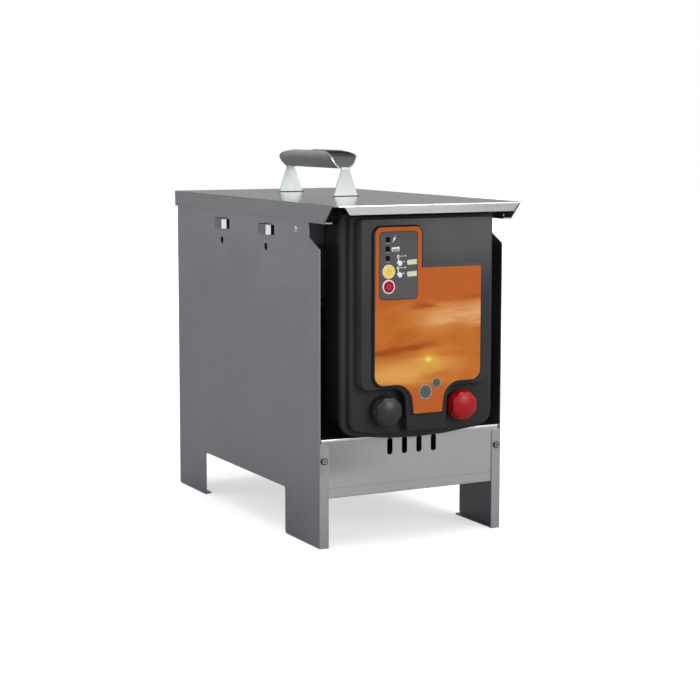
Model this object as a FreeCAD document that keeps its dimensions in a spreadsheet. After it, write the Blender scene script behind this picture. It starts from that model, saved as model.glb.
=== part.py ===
import FreeCAD, Part
import math
import os
import Sketcher
import PartDesign

# Fence energizer in a free-standing sheet-metal battery box.
# Frame: +Z up, -Y is the front with the controls, origin at the bottom centre of the whole object.
# Lengths are millimetres. "d" positions are measured rearwards from the plane of the front leg flanges.

V = FreeCAD.Vector
os.makedirs("parts", exist_ok=True)
doc = FreeCAD.newDocument("fence_energizer")

PARAMS = [
    ("case_width", 240.0, "over the outer faces of the side panels"),
    ("case_depth", 418.0, "front leg flange to rear panel"),
    ("sheet", 1.5, "sheet thickness"),
    ("front_overhang", 46.0, "roof ahead of the leg flanges"),
    ("rear_reach", 6.4, "hinge barrel behind the rear panel"),
    ("roof_top", 389.6, "top face of the roof"),
    ("roof_gap", 0.5, "roof flange to side panel"),
    ("roof_side_drop", 19.6, "height of the roof's side flanges"),
    ("roof_front_drop", 10.2, "height of the roof's front flange"),
    ("roof_front_half", 112.6, "half length of the roof's front flange at the top"),
    ("roof_lip", 9.5, "width of the lip under each side flange"),
    ("panel_top", 387.5, "top of the side panels"),
    ("leg_front", 90.7, "front leg width"),
    ("leg_rear", 88.5, "rear leg width"),
    ("leg_height", 55.2, "height of the opening between the legs"),
    ("front_flange", 12.0, "front leg flange width"),
    ("front_flange_top", 120.0, "front leg flange height"),
    ("foot_flange", 11.0, "foot flange width"),
    ("top_flange", 12.0, "flange along the top of a side panel"),
    ("notch_depth", 27.7, "notch in the top front corner"),
    ("notch_low", 339.7, "where the notch starts on the front edge"),
    ("notch_high", 353.0, "where the notch turns vertical"),
    ("apron_low", 56.8, "bottom of the front apron"),
    ("apron_high", 125.0, "top ledge of the front apron"),
    ("apron_ledge", 24.5, "depth of the apron's ledge"),
    ("apron_hem", 11.0, "bottom hem depth"),
    ("vent_pitch", 19.2, "apron vent spacing"),
    ("vent_width", 7.0, "apron vent width"),
    ("vent_low", 100.8, "apron vent bottom"),
    ("vent_high", 120.5, "apron vent top"),
    ("apron_screw_inset", 6.1, "screw from the outer face of the side"),
    ("apron_screw_height", 100.7, "screw height"),
    ("hook_front", 117.0, "front end of the first hook window"),
    ("hook_pitch", 130.0, "hook and hole spacing"),
    ("hook_low", 348.4, "bottom of a hook window"),
    ("hook_height", 12.3, "height of a hook window"),
    ("hook_length", 43.0, "length of a hook window"),
    ("hook_stand", 4.0, "how far a hook stands out"),
    ("hole_height", 334.0, "side hole height"),
    ("hole_radius", 4.5, "side hole radius"),
    ("hole_depth", 141.0, "first side hole behind the front plane"),
    ("rivet_depth", 60.3, "crossbar rivet behind the front plane"),
    ("rivet_height", 358.8, "crossbar rivet height"),
    ("rim_half", 98.5, "energizer rim half width"),
    ("rim_front", -12.0, "front face of the energizer rim"),
    ("floor_front", -20.0, "front face of the knob recesses"),
    ("face_front", -35.0, "front face of the energizer"),
    ("rim_top", 379.0, "top of the energizer"),
    ("rim_low", 121.5, "lowest point of the energizer rim"),
    ("wall", 3.0, "moulded wall"),
    ("plateau_rise", 2.5, "height of the raised plateau under the label"),
    ("plateau_margin", 3.2, "plateau edge beyond the label"),
    ("label_half", 68.5, "label half width"),
    ("label_low", 153.0, "label tongue bottom"),
    ("label_shelf", 187.5, "label lower edge beside the tongue"),
    ("label_top", 318.0, "label main top"),
    ("label_tab_top", 364.5, "label tab top"),
    ("label_tab_right", -9.5, "label tab right edge"),
    ("label_thick", 0.4, "label thickness"),
    ("key_x", -51.7, "keys' position across"),
    ("yellow_z", 315.0, "upper key height"),
    ("red_z", 298.2, "lower key height"),
    ("key_radius", 8.0, "key radius"),
    ("knob_x", 49.0, "terminal position across"),
    ("knob_z", 157.6, "terminal height"),
    ("knob_radius", 17.5, "knob radius"),
    ("knob_depth", 18.4, "knob length"),
    ("stud_radius", 3.0, "terminal stud radius"),
    ("handle_front", 169.0, "front foot of the handle behind the front plane"),
    ("handle_rear", 323.0, "rear foot of the handle behind the front plane"),
    ("handle_under", 423.4, "underside of the grip"),
    ("handle_top", 445.0, "top of the grip"),
    ("hinge_z", 367.5, "hinge axis height"),
    ("hinge_d", 421.4, "hinge axis behind the front plane"),
    ("hinge_half", 60.0, "half length of the hinge"),
    ("barrel_radius", 3.0, "hinge barrel radius"),
    ("pin_radius", 1.5, "hinge pin radius"),
    ("tray_low", 58.3, "underside of the battery tray"),
    ("housing_half", 88.0, "rear housing half width"),
    ("housing_low", 137.0, "rear housing bottom"),
    ("housing_high", 370.0, "rear housing top"),
    ("housing_rear", 50.0, "rear face of the energizer"),
    ("battery_half", 87.5, "battery half width"),
    ("battery_front", 95.0, "battery front face"),
    ("battery_length", 278.0, "battery length"),
    ("battery_box_top", 225.0, "top of the battery box"),
    ("battery_top", 243.0, "top of the battery cover"),
]

sheet = doc.addObject("Spreadsheet::Sheet", "Params")
for row, (alias, value, note) in enumerate(PARAMS, start=1):
    sheet.set("A%d" % row, alias)
    sheet.set("B%d" % row, repr(value))
    sheet.setAlias("B%d" % row, alias)
    sheet.set("C%d" % row, note)
doc.recompute()


class Q:
    """A length that knows both its value and the sheet expression behind it."""

    def __init__(self, v, s):
        self.v = float(v)
        self.s = s

    def __add__(self, o):
        o = q(o)
        return Q(self.v + o.v, "(%s + %s)" % (self.s, o.s))

    __radd__ = __add__

    def __sub__(self, o):
        o = q(o)
        return Q(self.v - o.v, "(%s - %s)" % (self.s, o.s))

    def __rsub__(self, o):
        return q(o) - self

    def __mul__(self, o):
        o = q(o)
        return Q(self.v * o.v, "(%s * %s)" % (self.s, o.s))

    __rmul__ = __mul__

    def __truediv__(self, o):
        o = q(o)
        return Q(self.v / o.v, "(%s / %s)" % (self.s, o.s))

    def __neg__(self):
        return Q(-self.v, "(0 - %s)" % self.s)


def q(x):
    return x if isinstance(x, Q) else Q(x, "(%.6f)" % x if x < 0 else "%.6f" % x)


P = {alias: Q(value, "Params.%s" % alias) for alias, value, _ in PARAMS}
T = P["sheet"]
HW = P["case_width"] / 2
D = P["case_depth"]
FY = (P["front_overhang"] - P["case_depth"] - P["rear_reach"]) / 2


def d(x):
    """Y of a point x behind the front plane."""
    return FY + x


nodes = []


def node(name, obj):
    obj.Label = name
    nodes.append((name, obj))
    return obj


def bind(obj, prop, x):
    obj.setExpression(prop, q(x).s)


def place(obj, x, y, z):
    bind(obj, "Placement.Base.x", x)
    bind(obj, "Placement.Base.y", y)
    bind(obj, "Placement.Base.z", z)


ROT = {
    "x": FreeCAD.Rotation(V(0, 1, 0), 90),
    "-x": FreeCAD.Rotation(V(0, 1, 0), -90),
    "y": FreeCAD.Rotation(V(1, 0, 0), -90),
    "-y": FreeCAD.Rotation(V(1, 0, 0), 90),
    "z": FreeCAD.Rotation(),
    "-z": FreeCAD.Rotation(V(1, 0, 0), 180),
}
counter = [0]


def fresh(stem):
    counter[0] += 1
    return "%s_%d" % (stem, counter[0])


def box(x0, x1, y0, y1, z0, z1):
    o = doc.addObject("Part::Box", fresh("box"))
    bind(o, "Length", q(x1) - x0)
    bind(o, "Width", q(y1) - y0)
    bind(o, "Height", q(z1) - z0)
    place(o, x0, y0, z0)
    return o


def cyl(axis, r, x, y, z, length):
    o = doc.addObject("Part::Cylinder", fresh("cyl"))
    o.Placement = FreeCAD.Placement(V(0, 0, 0), ROT[axis])
    bind(o, "Radius", r)
    bind(o, "Height", length)
    place(o, x, y, z)
    return o


def cone(axis, r1, r2, x, y, z, length):
    o = doc.addObject("Part::Cone", fresh("cone"))
    o.Placement = FreeCAD.Placement(V(0, 0, 0), ROT[axis])
    bind(o, "Radius1", r1)
    bind(o, "Radius2", r2)
    bind(o, "Height", length)
    place(o, x, y, z)
    return o


def hexagon(axis, r, x, y, z, length):
    o = doc.addObject("Part::Prism", fresh("hex"))
    o.Polygon = 6
    o.Placement = FreeCAD.Placement(V(0, 0, 0), ROT[axis])
    bind(o, "Circumradius", r)
    bind(o, "Height", length)
    place(o, x, y, z)
    return o


def fuse(*objs):
    o = doc.addObject("Part::MultiFuse", fresh("fuse"))
    o.Shapes = list(objs)
    o.Refine = True
    return o


def group(*objs):
    o = doc.addObject("Part::Compound", fresh("group"))
    o.Links = list(objs)
    return o


def cut(base, *tools):
    o = doc.addObject("Part::Cut", fresh("cut"))
    o.Base = base
    o.Tool = tools[0] if len(tools) == 1 else fuse(*tools)
    o.Refine = True
    return o


def rounded(base, r, pick):
    """Part::Fillet over the edges that pick accepts."""
    doc.recompute()
    o = doc.addObject("Part::Fillet", fresh("round"))
    o.Base = base
    o.Edges = [(i, r, r) for i, e in enumerate(base.Shape.Edges, start=1) if pick(e)]
    if not o.Edges:
        raise RuntimeError("no edge to round on " + base.Label)
    return o


def mirrored(src):
    o = doc.addObject("Part::Mirroring", fresh("mirror"))
    o.Source = src
    o.Base = V(0, 0, 0)
    o.Normal = V(1, 0, 0)
    return o


def ends(e):
    return [v.Point for v in e.Vertexes]


def near(a, b, tol=0.02):
    return abs(a - b) < tol


def along(e, axis):
    """True if edge e is a straight line along the axis."""
    p = ends(e)
    if len(p) != 2 or e.Curve.TypeId != "Part::GeomLine":
        return False
    w = p[1] - p[0]
    return abs(abs(getattr(w, axis)) - w.Length) < 1e-4


def at_points(e, axis, points, tol=0.3):
    """True if e runs along the axis through one of the (a, b) points of the other two coordinates."""
    if not along(e, axis):
        return False
    p = ends(e)[0]
    ab = {"x": (p.y, p.z), "y": (p.x, p.z), "z": (p.x, p.y)}[axis]
    return any(math.hypot(ab[0] - q(a).v, ab[1] - q(b).v) < tol for a, b in points)


class Body:
    """A PartDesign body whose sketches lie on its own origin planes."""

    SIGN = {"YZ_Plane": 1, "XZ_Plane": -1, "XY_Plane": 1}

    def __init__(self, name):
        self.name = name
        self.b = doc.addObject("PartDesign::Body", name + "_body")
        self.last = 0.0

    def sketch(self, role, loops, at):
        sk = self.b.newObject("Sketcher::SketchObject", fresh("sketch"))
        plane = [o for o in self.b.Origin.OriginFeatures if o.Role == role][0]
        sk.AttachmentSupport = [(plane, "")]
        sk.MapMode = "FlatFace"
        bind(sk, "AttachmentOffset.Base.z", q(at) * self.SIGN[role])
        k = 0
        for loop in loops:
            if loop[0] == "circle":
                cx, cy, r = (q(a) for a in loop[1:])
                g = sk.addGeometry(Part.Circle(V(cx.v, cy.v, 0), V(0, 0, 1), r.v), False)
                jobs = [("Radius", (g,), r), ("DistanceX", (-1, 1, g, 3), cx), ("DistanceY", (-1, 1, g, 3), cy)]
            else:
                pts = [(q(a), q(b)) for a, b in loop]
                first = sk.GeometryCount
                n = len(pts)
                for i in range(n):
                    a, b = pts[i], pts[(i + 1) % n]
                    sk.addGeometry(Part.LineSegment(V(a[0].v, a[1].v, 0), V(b[0].v, b[1].v, 0)), False)
                for i in range(n):
                    sk.addConstraint(Sketcher.Constraint("Coincident", first + i, 2, first + (i + 1) % n, 1))
                jobs = []
                for i, (a, b) in enumerate(pts):
                    jobs.append(("DistanceX", (-1, 1, first + i, 1), a))
                    jobs.append(("DistanceY", (-1, 1, first + i, 1), b))
            for kind, ref, val in jobs:
                c = sk.addConstraint(Sketcher.Constraint(kind, *ref, val.v))
                sk.renameConstraint(c, "k%d" % k)
                sk.setExpression("Constraints.k%d" % k, val.s)
                k += 1
        return sk

    def _size(self, f, length):
        if f.TypeId == "PartDesign::Pocket" and length is None:
            f.Type = 1
        else:
            bind(f, "Length", length)

    def _check(self, f, grew):
        doc.recompute()
        vol = self.b.Shape.Volume
        if (vol > self.last + 1e-6) != grew or abs(vol - self.last) < 1e-6 or not self.b.Shape.isValid():
            raise RuntimeError("%s: %s changed the volume from %.3f to %.3f" % (self.name, f.Name, self.last, vol))
        self.last = vol

    def pad(self, role, loops, at, to, taper=None):
        sk = self.sketch(role, loops, at)
        f = self.b.newObject("PartDesign::Pad", fresh("pad"))
        f.Profile = sk
        up = q(to).v > q(at).v
        bind(f, "Length", (q(to) - at) if up else (q(at) - to))
        f.Reversed = up != (self.SIGN[role] > 0)
        if taper is not None:
            f.TaperAngle = taper
        self._check(f, True)
        return f

    def pocket(self, role, loops, at, to):
        sk = self.sketch(role, loops, at)
        f = self.b.newObject("PartDesign::Pocket", fresh("pocket"))
        f.Profile = sk
        up = q(to).v > q(at).v
        bind(f, "Length", (q(to) - at) if up else (q(at) - to))
        f.Reversed = up == (self.SIGN[role] > 0)
        self._check(f, False)
        return f

    def revolve(self, loops):
        """Revolution of a sketch on the XY plane about the body's Y axis."""
        sk = self.sketch("XY_Plane", loops, 0)
        f = self.b.newObject("PartDesign::Revolution", fresh("revolve"))
        f.Profile = sk
        f.ReferenceAxis = (sk, ["V_Axis"])
        f.Angle = 360
        self._check(f, True)
        return f

    def polar(self, feature, count):
        f = self.b.newObject("PartDesign::PolarPattern", fresh("polar"))
        f.Originals = [feature]
        axis = [o for o in self.b.Origin.OriginFeatures if o.Role == "Y_Axis"][0]
        f.Axis = (axis, [""])
        f.Angle = 360
        f.Occurrences = count
        self.b.Tip = f
        doc.recompute()
        self.last = self.b.Shape.Volume
        return f

    def row(self, feature, role, pitch, count):
        """Linear pattern of a feature along an origin axis."""
        f = self.b.newObject("PartDesign::LinearPattern", fresh("row"))
        f.Originals = [feature]
        axis = [o for o in self.b.Origin.OriginFeatures if o.Role == role][0]
        f.Direction = (axis, [""])
        bind(f, "Length", q(pitch) * (count - 1))
        f.Occurrences = count
        self.b.Tip = f
        doc.recompute()
        self.last = self.b.Shape.Volume
        return f

    def dress(self, kind, size, pick):
        doc.recompute()
        tip = self.b.Tip
        names = ["Edge%d" % i for i, e in enumerate(tip.Shape.Edges, start=1) if pick(e)]
        if not names:
            raise RuntimeError("%s: no edge for %s" % (self.name, kind))
        f = self.b.newObject("PartDesign::" + kind, fresh(kind.lower()))
        f.Base = (tip, names)
        if kind == "Fillet":
            f.Radius = size
        else:
            f.Size = size
        doc.recompute()
        if f.Shape.isNull() or not f.Shape.isValid():
            raise RuntimeError("%s: %s of %s left a bad shape" % (self.name, kind, size))
        self.last = self.b.Shape.Volume
        return f

    def done(self):
        return node(self.name, self.b)


def rect(x0, x1, y0, y1):
    return [(x0, y0), (x1, y0), (x1, y1), (x0, y1)]


# ---------------------------------------------------------------- sheet-metal case

LX0, LX1 = -HW, T - HW
side = Body("left_side_panel")
side.pad(
    "YZ_Plane",
    [[(d(0), 0), (d(P["leg_front"]), 0), (d(P["leg_front"]), P["leg_height"]),
      (d(D - P["leg_rear"]), P["leg_height"]), (d(D - P["leg_rear"]), 0), (d(D), 0), (d(D), P["panel_top"]),
      (d(P["notch_depth"]), P["panel_top"]), (d(P["notch_depth"]), P["notch_high"]), (d(0), P["notch_low"])]],
    LX0, LX1,
)
side.dress("Fillet", 3.5, lambda e: at_points(e, "x", [(d(P["leg_front"]), P["leg_height"]), (d(D - P["leg_rear"]), P["leg_height"])]))
side.dress("Fillet", 4.0, lambda e: at_points(e, "x", [(d(P["leg_front"]), 0), (d(D - P["leg_rear"]), 0), (d(D), 0)]))
side.pad("XZ_Plane", [rect(LX0, P["front_flange"] - HW, 0, P["front_flange_top"])], d(0), d(T))
side.dress("Fillet", 7.0, lambda e: at_points(e, "y", [(P["front_flange"] - HW, P["front_flange_top"])]))
side.pad("XY_Plane", [rect(LX0, P["foot_flange"] - HW, d(0), d(P["leg_front"] - 4.5))], 0, T)
side.pad("XY_Plane", [rect(LX0, P["foot_flange"] - HW, d(D - P["leg_rear"] + 4.5), d(D - 4.5))], 0, T)
side.dress("Fillet", 4.0, lambda e: at_points(e, "z", [(P["foot_flange"] - HW, d(P["leg_front"] - 4.5)), (P["foot_flange"] - HW, d(D - P["leg_rear"] + 4.5)), (P["foot_flange"] - HW, d(D - 4.5))]))
side.pad("XY_Plane", [rect(LX0, P["top_flange"] - HW, d(32), d(D - 3))], P["panel_top"] - T, P["panel_top"])
HK0 = d(P["hook_front"])
window = side.pocket("YZ_Plane", [rect(HK0, HK0 + P["hook_length"], P["hook_low"], P["hook_low"] + P["hook_height"])], LX0 - 1, LX1 + 1)
side.row(window, "Y_Axis", P["hook_pitch"], 2)
for k in (0, 1):
    h0 = HK0 + P["hook_pitch"] * k
    out = -HW - P["hook_stand"]
    side.pad(
        "XY_Plane",
        [[(LX0, h0 + P["hook_length"]), (LX1, h0 + P["hook_length"]), (out + T, h0 + 36), (out + T, h0 + 16.6),
          (LX1, h0 + 11.4), (LX0, h0 + 9.8), (out, h0 + 15.6), (out, h0 + 37)]],
        P["hook_low"] + 0.2, P["hook_low"] + P["hook_height"] - 0.2,
    )
holes = side.pocket("YZ_Plane", [("circle", d(P["hole_depth"]), P["hole_height"], P["hole_radius"])], LX0 - 1, LX1 + 1)
side.row(holes, "Y_Axis", P["hook_pitch"], 2)
side.pocket("YZ_Plane", [("circle", d(P["rivet_depth"]), P["rivet_height"], 2.1)], LX0 - 1, LX1 + 1)
side.pocket("XZ_Plane", [("circle", P["apron_screw_inset"] - HW, P["apron_screw_height"], 2.3)], d(-1), d(T + 1))
side.dress("Fillet", 1.2, lambda e: at_points(e, "z", [(-HW, d(0))]) or at_points(e, "y", [(-HW, 0)]))
left = side.done()
node("right_side_panel", mirrored(left))

IN = HW - T
apron = Body("front_apron")
apron.pad("XZ_Plane", [rect(-IN, IN, P["apron_low"], P["apron_high"])], d(T), d(T * 2))
apron.pad("XY_Plane", [rect(-IN, IN, d(T), d(T + P["apron_ledge"]))], P["apron_high"] - T, P["apron_high"])
apron.pad("XZ_Plane", [rect(-IN, IN, P["apron_high"] - 9, P["apron_high"])], d(P["apron_ledge"]), d(T + P["apron_ledge"]))
apron.pad("XY_Plane", [rect(-IN, IN, d(T), d(T + P["apron_hem"]))], P["apron_low"], P["apron_low"] + T)
VX = P["vent_pitch"] * -1.5
vent = apron.pocket(
    "XZ_Plane",
    [rect(VX - P["vent_width"] / 2, VX + P["vent_width"] / 2, P["vent_low"], P["vent_high"])],
    d(T - 1), d(T * 2 + 1),
)
apron.row(vent, "X_Axis", P["vent_pitch"], 4)
apron.dress("Fillet", 3.3, lambda e: along(e, "y") and (near(ends(e)[0].z, P["vent_low"].v) or near(ends(e)[0].z, P["vent_high"].v)) and abs(ends(e)[0].x) < 40)
apron.pocket("XZ_Plane", [("circle", P["apron_screw_inset"] - HW, P["apron_screw_height"], 2.3), ("circle", HW - P["apron_screw_inset"], P["apron_screw_height"], 2.3)], d(T - 1), d(T * 2 + 1))
apron.pocket("XZ_Plane", [rect(-IN + 0.6, -IN + 2.0, 119.0, 126), rect(IN - 2.0, IN - 0.6, 119.0, 126)], d(T - 1), d(T * 2))
apron.dress("Fillet", 1.3, lambda e: along(e, "x") and near(ends(e)[0].y, d(T).v) and (near(ends(e)[0].z, P["apron_high"].v) or near(ends(e)[0].z, P["apron_low"].v)))
apron.done()

tray = Body("floor_tray")
tray.pad("XY_Plane", [rect(-IN, IN, d(T * 2 + 0.1), d(D - T - 0.1))], P["tray_low"], P["tray_low"] + T)
for s in (-1, 1):
    a, b = (-IN, -IN + T) if s < 0 else (IN - T, IN)
    tray.pad("YZ_Plane", [rect(d(T * 2 + 0.1), d(D - T - 0.1), P["tray_low"], P["tray_low"] + 16)], a, b)
tray.pocket("XY_Plane", [("circle", -60, d(70), 4), ("circle", 60, d(70), 4), ("circle", -60, d(395), 4), ("circle", 60, d(395), 4)], P["tray_low"] - 1, P["tray_low"] + 3)
tray.pocket("XY_Plane", [("circle", -92, d(306), 3.2), ("circle", 92, d(306), 3.2)], P["tray_low"] - 1, P["tray_low"] + 3)
tray.done()

rear = Body("rear_panel")
REAR_TOP = P["panel_top"] - T
rear.pad("XZ_Plane", [rect(-IN, IN, P["apron_low"], REAR_TOP)], d(D - T), d(D))
rear.pad("XY_Plane", [rect(-IN, IN, d(D - T - 11), d(D))], P["apron_low"], P["apron_low"] + T)
rear.pad("XY_Plane", [rect(-IN, IN, d(D - T - 12), d(D))], REAR_TOP - T, REAR_TOP)
vent = rear.pocket("XZ_Plane", [rect(VX - P["vent_width"] / 2, VX + P["vent_width"] / 2, 135, 160)], d(D - T - 1), d(D + 1))
rear.row(vent, "X_Axis", P["vent_pitch"], 4)
rear.dress("Fillet", 3.3, lambda e: along(e, "y") and (near(ends(e)[0].z, 135) or near(ends(e)[0].z, 160)) and abs(ends(e)[0].x) < 40)
rear.pocket("XZ_Plane", [("circle", x, 345, 1.65) for x in (-48, -16, 16, 48)], d(D - T - 1), d(D + 1))
rear.done()

bar = Body("top_crossbar")
CB = P["housing_rear"]
bar.pad("XZ_Plane", [rect(-IN, IN, 342, 374)], d(CB), d(CB + T))
bar.pad("XY_Plane", [rect(-IN, IN, d(CB), d(CB + 16))], 374 - T, 374)
for s in (-1, 1):
    a, b = (-IN, -IN + T) if s < 0 else (IN - T, IN)
    bar.pad("YZ_Plane", [rect(d(CB), d(CB + 18), 346, 371)], a, b)
bar.pocket("YZ_Plane", [("circle", d(P["rivet_depth"]), P["rivet_height"], 2.1)], -HW, HW)
bar.pocket("XZ_Plane", [("circle", -60, 356, 2.6), ("circle", 60, 356, 2.6)], d(CB - 1), d(CB + 3))
bar.done()


def rivet(axis, x, y, z, grip, r=2.05, head=3.7, rise=1.5):
    """A round-head rivet: the head stands on (x, y, z) along the axis and the shank goes the other way."""
    back = axis[1:] if axis.startswith("-") else "-" + axis
    doming = cone(axis, head, head * 0.62, x, y, z, rise)
    shank = cyl(back, r, x, y, z, grip + 0.8)
    off = {"x": V(1, 0, 0), "y": V(0, 1, 0), "z": V(0, 0, 1)}[axis[-1]] * (-1 if axis.startswith("-") else 1)
    tail = cyl(back, r * 1.45, q(x) - off.x * grip, q(y) - off.y * grip, q(z) - off.z * grip, 1.0)
    return fuse(doming, shank, tail)


node("crossbar_rivets", group(
    rivet("-x", -HW, d(P["rivet_depth"]), P["rivet_height"], T * 2),
    rivet("x", HW, d(P["rivet_depth"]), P["rivet_height"], T * 2),
))


def pan_screw(axis, x, y, z, length, r=2.2, head=4.2, rise=2.3, slot=True):
    """A pan-head cross screw: the head stands on (x, y, z) along the axis and the shank goes the other way."""
    back = axis[1:] if axis.startswith("-") else "-" + axis
    h0 = cyl(axis, head, x, y, z, rise)
    hd = rounded(h0, rise * 0.42, lambda e: e.Curve.TypeId == "Part::GeomCircle" and abs((e.CenterOfMass - h0.Placement.Base).Length - rise) < 0.05)
    shank = cyl(back, r, x, y, z, length)
    whole = fuse(hd, shank)
    if not slot:
        return whole
    w, l, dp = head * 0.13, head * 0.55, rise * 0.62
    sgn = -1 if axis.startswith("-") else 1
    x, y, z = q(x), q(y), q(z)
    if axis[-1] == "y":
        lo, hi = (y - rise - 1, y - (rise - dp)) if sgn < 0 else (y + (rise - dp), y + rise + 1)
        a = box(x - w, x + w, lo, hi, z - l, z + l)
        b = box(x - l, x + l, lo, hi, z - w, z + w)
    else:
        lo, hi = (z - rise - 1, z - (rise - dp)) if sgn < 0 else (z + (rise - dp), z + rise + 1)
        a = box(x - w, x + w, y - l, y + l, lo, hi)
        b = box(x - l, x + l, y - w, y + w, lo, hi)
    return cut(whole, a, b)


AS = P["apron_screw_inset"]
node("apron_screws", group(
    pan_screw("-y", AS - HW, d(0), P["apron_screw_height"], 9),
    pan_screw("-y", HW - AS, d(0), P["apron_screw_height"], 9),
))

# ---------------------------------------------------------------- lid, hinge and handle

RO = HW + P["roof_gap"] + T
RT = P["roof_top"]
RB = RT - P["roof_side_drop"]
RREAR = D + 2.8
roof = Body("roof_lid")
roof.pad("XY_Plane", [[(-RO, d(RREAR)), (-RO, d(-38)), (-RO + 3, d(-P["front_overhang"])), (RO - 3, d(-P["front_overhang"])), (RO, d(-38)), (RO, d(RREAR))]], RT - T, RT)
for s in (-1, 1):
    a, b = (-RO, -RO + T) if s < 0 else (RO - T, RO)
    roof.pad("YZ_Plane", [[(d(RREAR), RT), (d(RREAR), RB), (d(24), RB), (d(23), RB - T), (d(-15), RB - T), (d(-16), RB), (d(-36), RT)]], a, b)
    a, b = (-RO + T, -RO + P["roof_lip"] + T) if s < 0 else (RO - P["roof_lip"] - T, RO - T)
    roof.pad("XY_Plane", [rect(a, b, d(-14.5), d(22.5))], RB - T, RB)
FH = P["roof_front_half"]
roof.pad("XZ_Plane", [[(-FH, RT), (FH, RT), (FH - 7.2, RT - P["roof_front_drop"]), (-FH + 7.2, RT - P["roof_front_drop"])]], d(-P["front_overhang"]), d(T - P["front_overhang"]))
roof.pad("XZ_Plane", [rect(-RO + T, RO - T, RT - 18.1, RT)], d(RREAR - T), d(RREAR))
HF, HR = P["handle_front"], P["handle_rear"]
roof.pocket("XY_Plane", [rect(-19, 19, d(HF - 1.5), d(HF + 1.5)), rect(-19, 19, d(HR - 1.5), d(HR + 1.5))], RT + 1, RT - T - 1)
roof.pocket("XZ_Plane", [("circle", x, 379, 1.65) for x in (-48, -16, 16, 48)], d(RREAR - T - 1), d(RREAR + 1))
roof.pocket("YZ_Plane", [("circle", d(0), 372.4, 1.3)], -RO - 1, RO + 1)
roof.dress("Fillet", 1.2, lambda e: len(ends(e)) == 2 and all(near(p.z, RT.v) for p in ends(e)) and (
    all(near(abs(p.x), RO.v) for p in ends(e)) or all(near(p.y, d(-P["front_overhang"]).v) for p in ends(e)) or all(near(p.y, d(RREAR).v) for p in ends(e))))
roof.done()

hd = Body("carry_handle")
GZ, GT = P["handle_under"], P["handle_top"]
K = 1.6
GS = (GT.v - GZ.v) / 23.0
outer = [(8.2, 0.0), (13.2, 5.0), (16.9, 10.6), (18.2, 15.2), (17.5, 19.6), (14.4, 23.0)]
inner = [(13.3, 21.7), (16.0, 18.9), (16.6, 15.3), (15.5, 11.4), (12.1, 6.2), (7.6, 1.6)]
prof = outer + inner
loop = [(x, GZ + z * GS) for x, z in prof] + [(-x, GZ + z * GS) for x, z in reversed(prof)]
hd.pad("XZ_Plane", [loop], d(HF + 2), d(HR - 2))
endcut = [(-4, 1.9), (2.2, 1.9), (1.9, 9), (2.9, 14), (8.5, 18.2), (21, 21.0), (47, 23.6), (49, 30), (-4, 30)]
hd.pocket("YZ_Plane", [[(d(HF + a), GZ + z * GS) for a, z in endcut]], -30, 30)
hd.pocket("YZ_Plane", [[(d(HR - a), GZ + z * GS) for a, z in endcut]], -30, 30)
hd.pad("XY_Plane", [[(-5.8, d(HF - 1)), (5.8, d(HF - 1)), (8.2, d(HF + 7)), (8.2, d(HR - 7)), (5.8, d(HR + 1)), (-5.8, d(HR + 1)), (-8.2, d(HR - 7)), (-8.2, d(HF + 7))]], GZ, GZ + K)
for f, g in ((HF, 1), (HR, -1)):
    hd.pad("XZ_Plane", [[(-16, RT - T - 2), (16, RT - T - 2), (16, RT + 1.5), (5.8, GZ - 3), (5.8, GZ + K), (-5.8, GZ + K), (-5.8, GZ - 3), (-16, RT + 1.5)]], d(f - 1), d(f + 1))
    a, b = (d(f + 1), d(f + 11)) if g > 0 else (d(f - 11), d(f - 1))
    hd.pad("XY_Plane", [rect(-16, 16, a, b)], RT - T - 2, RT - T)
hd.dress("Fillet", 1.5, lambda e: along(e, "x") and near(ends(e)[0].z, (GZ + K).v) and (near(ends(e)[0].y, d(HF - 1).v) or near(ends(e)[0].y, d(HR + 1).v)))
hd.done()

# Five-knuckle butt hinge: the case leaf has knuckles 1, 3, 5 and the lid leaf has 2 and 4.
HD, HZ, HH = P["hinge_d"], P["hinge_z"], P["hinge_half"]
STEP = HH * 2 / 5


def knuckles(which):
    return [cyl("x", P["barrel_radius"], -HH + STEP * i + 0.2, d(HD), HZ, STEP - 0.4) for i in which]


bore = cyl("x", P["pin_radius"] + 0.05, -HH - 1, d(HD), HZ, HH * 2 + 2)
case_plate = [box(-HH, HH, d(D), d(D + 1.2), 332, HZ - 3.6)]
case_plate += [box(-HH + STEP * i + 0.2, -HH + STEP * (i + 1) - 0.2, d(D), d(D + 1.2), HZ - 3.6, HZ) for i in (0, 2, 4)]
case_holes = [cyl("y", 1.65, x, d(D - 1), 345, 4) for x in (-48, -16, 16, 48)]
node("hinge_leaf_case", cut(fuse(*(case_plate + knuckles((0, 2, 4)))), bore, *case_holes))
bore2 = cyl("x", P["pin_radius"] + 0.05, -HH - 1, d(HD), HZ, HH * 2 + 2)
lid_plate = [box(-HH, HH, d(RREAR), d(RREAR + 1.2), HZ + 3.6, 387.5)]
lid_plate += [box(-HH + STEP * i + 0.2, -HH + STEP * (i + 1) - 0.2, d(RREAR), d(RREAR + 1.2), HZ, HZ + 3.6) for i in (1, 3)]
lid_holes = [cyl("y", 1.65, x, d(RREAR - 1), 379, 4) for x in (-48, -16, 16, 48)]
node("hinge_leaf_lid", cut(fuse(*(lid_plate + knuckles((1, 3)))), bore2, *lid_holes))
node("hinge_pin", fuse(
    cyl("x", P["pin_radius"], -HH - 0.5, d(HD), HZ, HH * 2 + 1),
    cyl("x", 2.4, -HH - 1.7, d(HD), HZ, 1.2),
    cyl("x", 2.4, HH + 0.5, d(HD), HZ, 1.2),
))
node("case_hinge_rivets", group(*[rivet("y", x, d(D + 1.2), 345, T + 1.2, r=1.6, head=3.0, rise=1.1) for x in (-48, -16, 16, 48)]))
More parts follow.
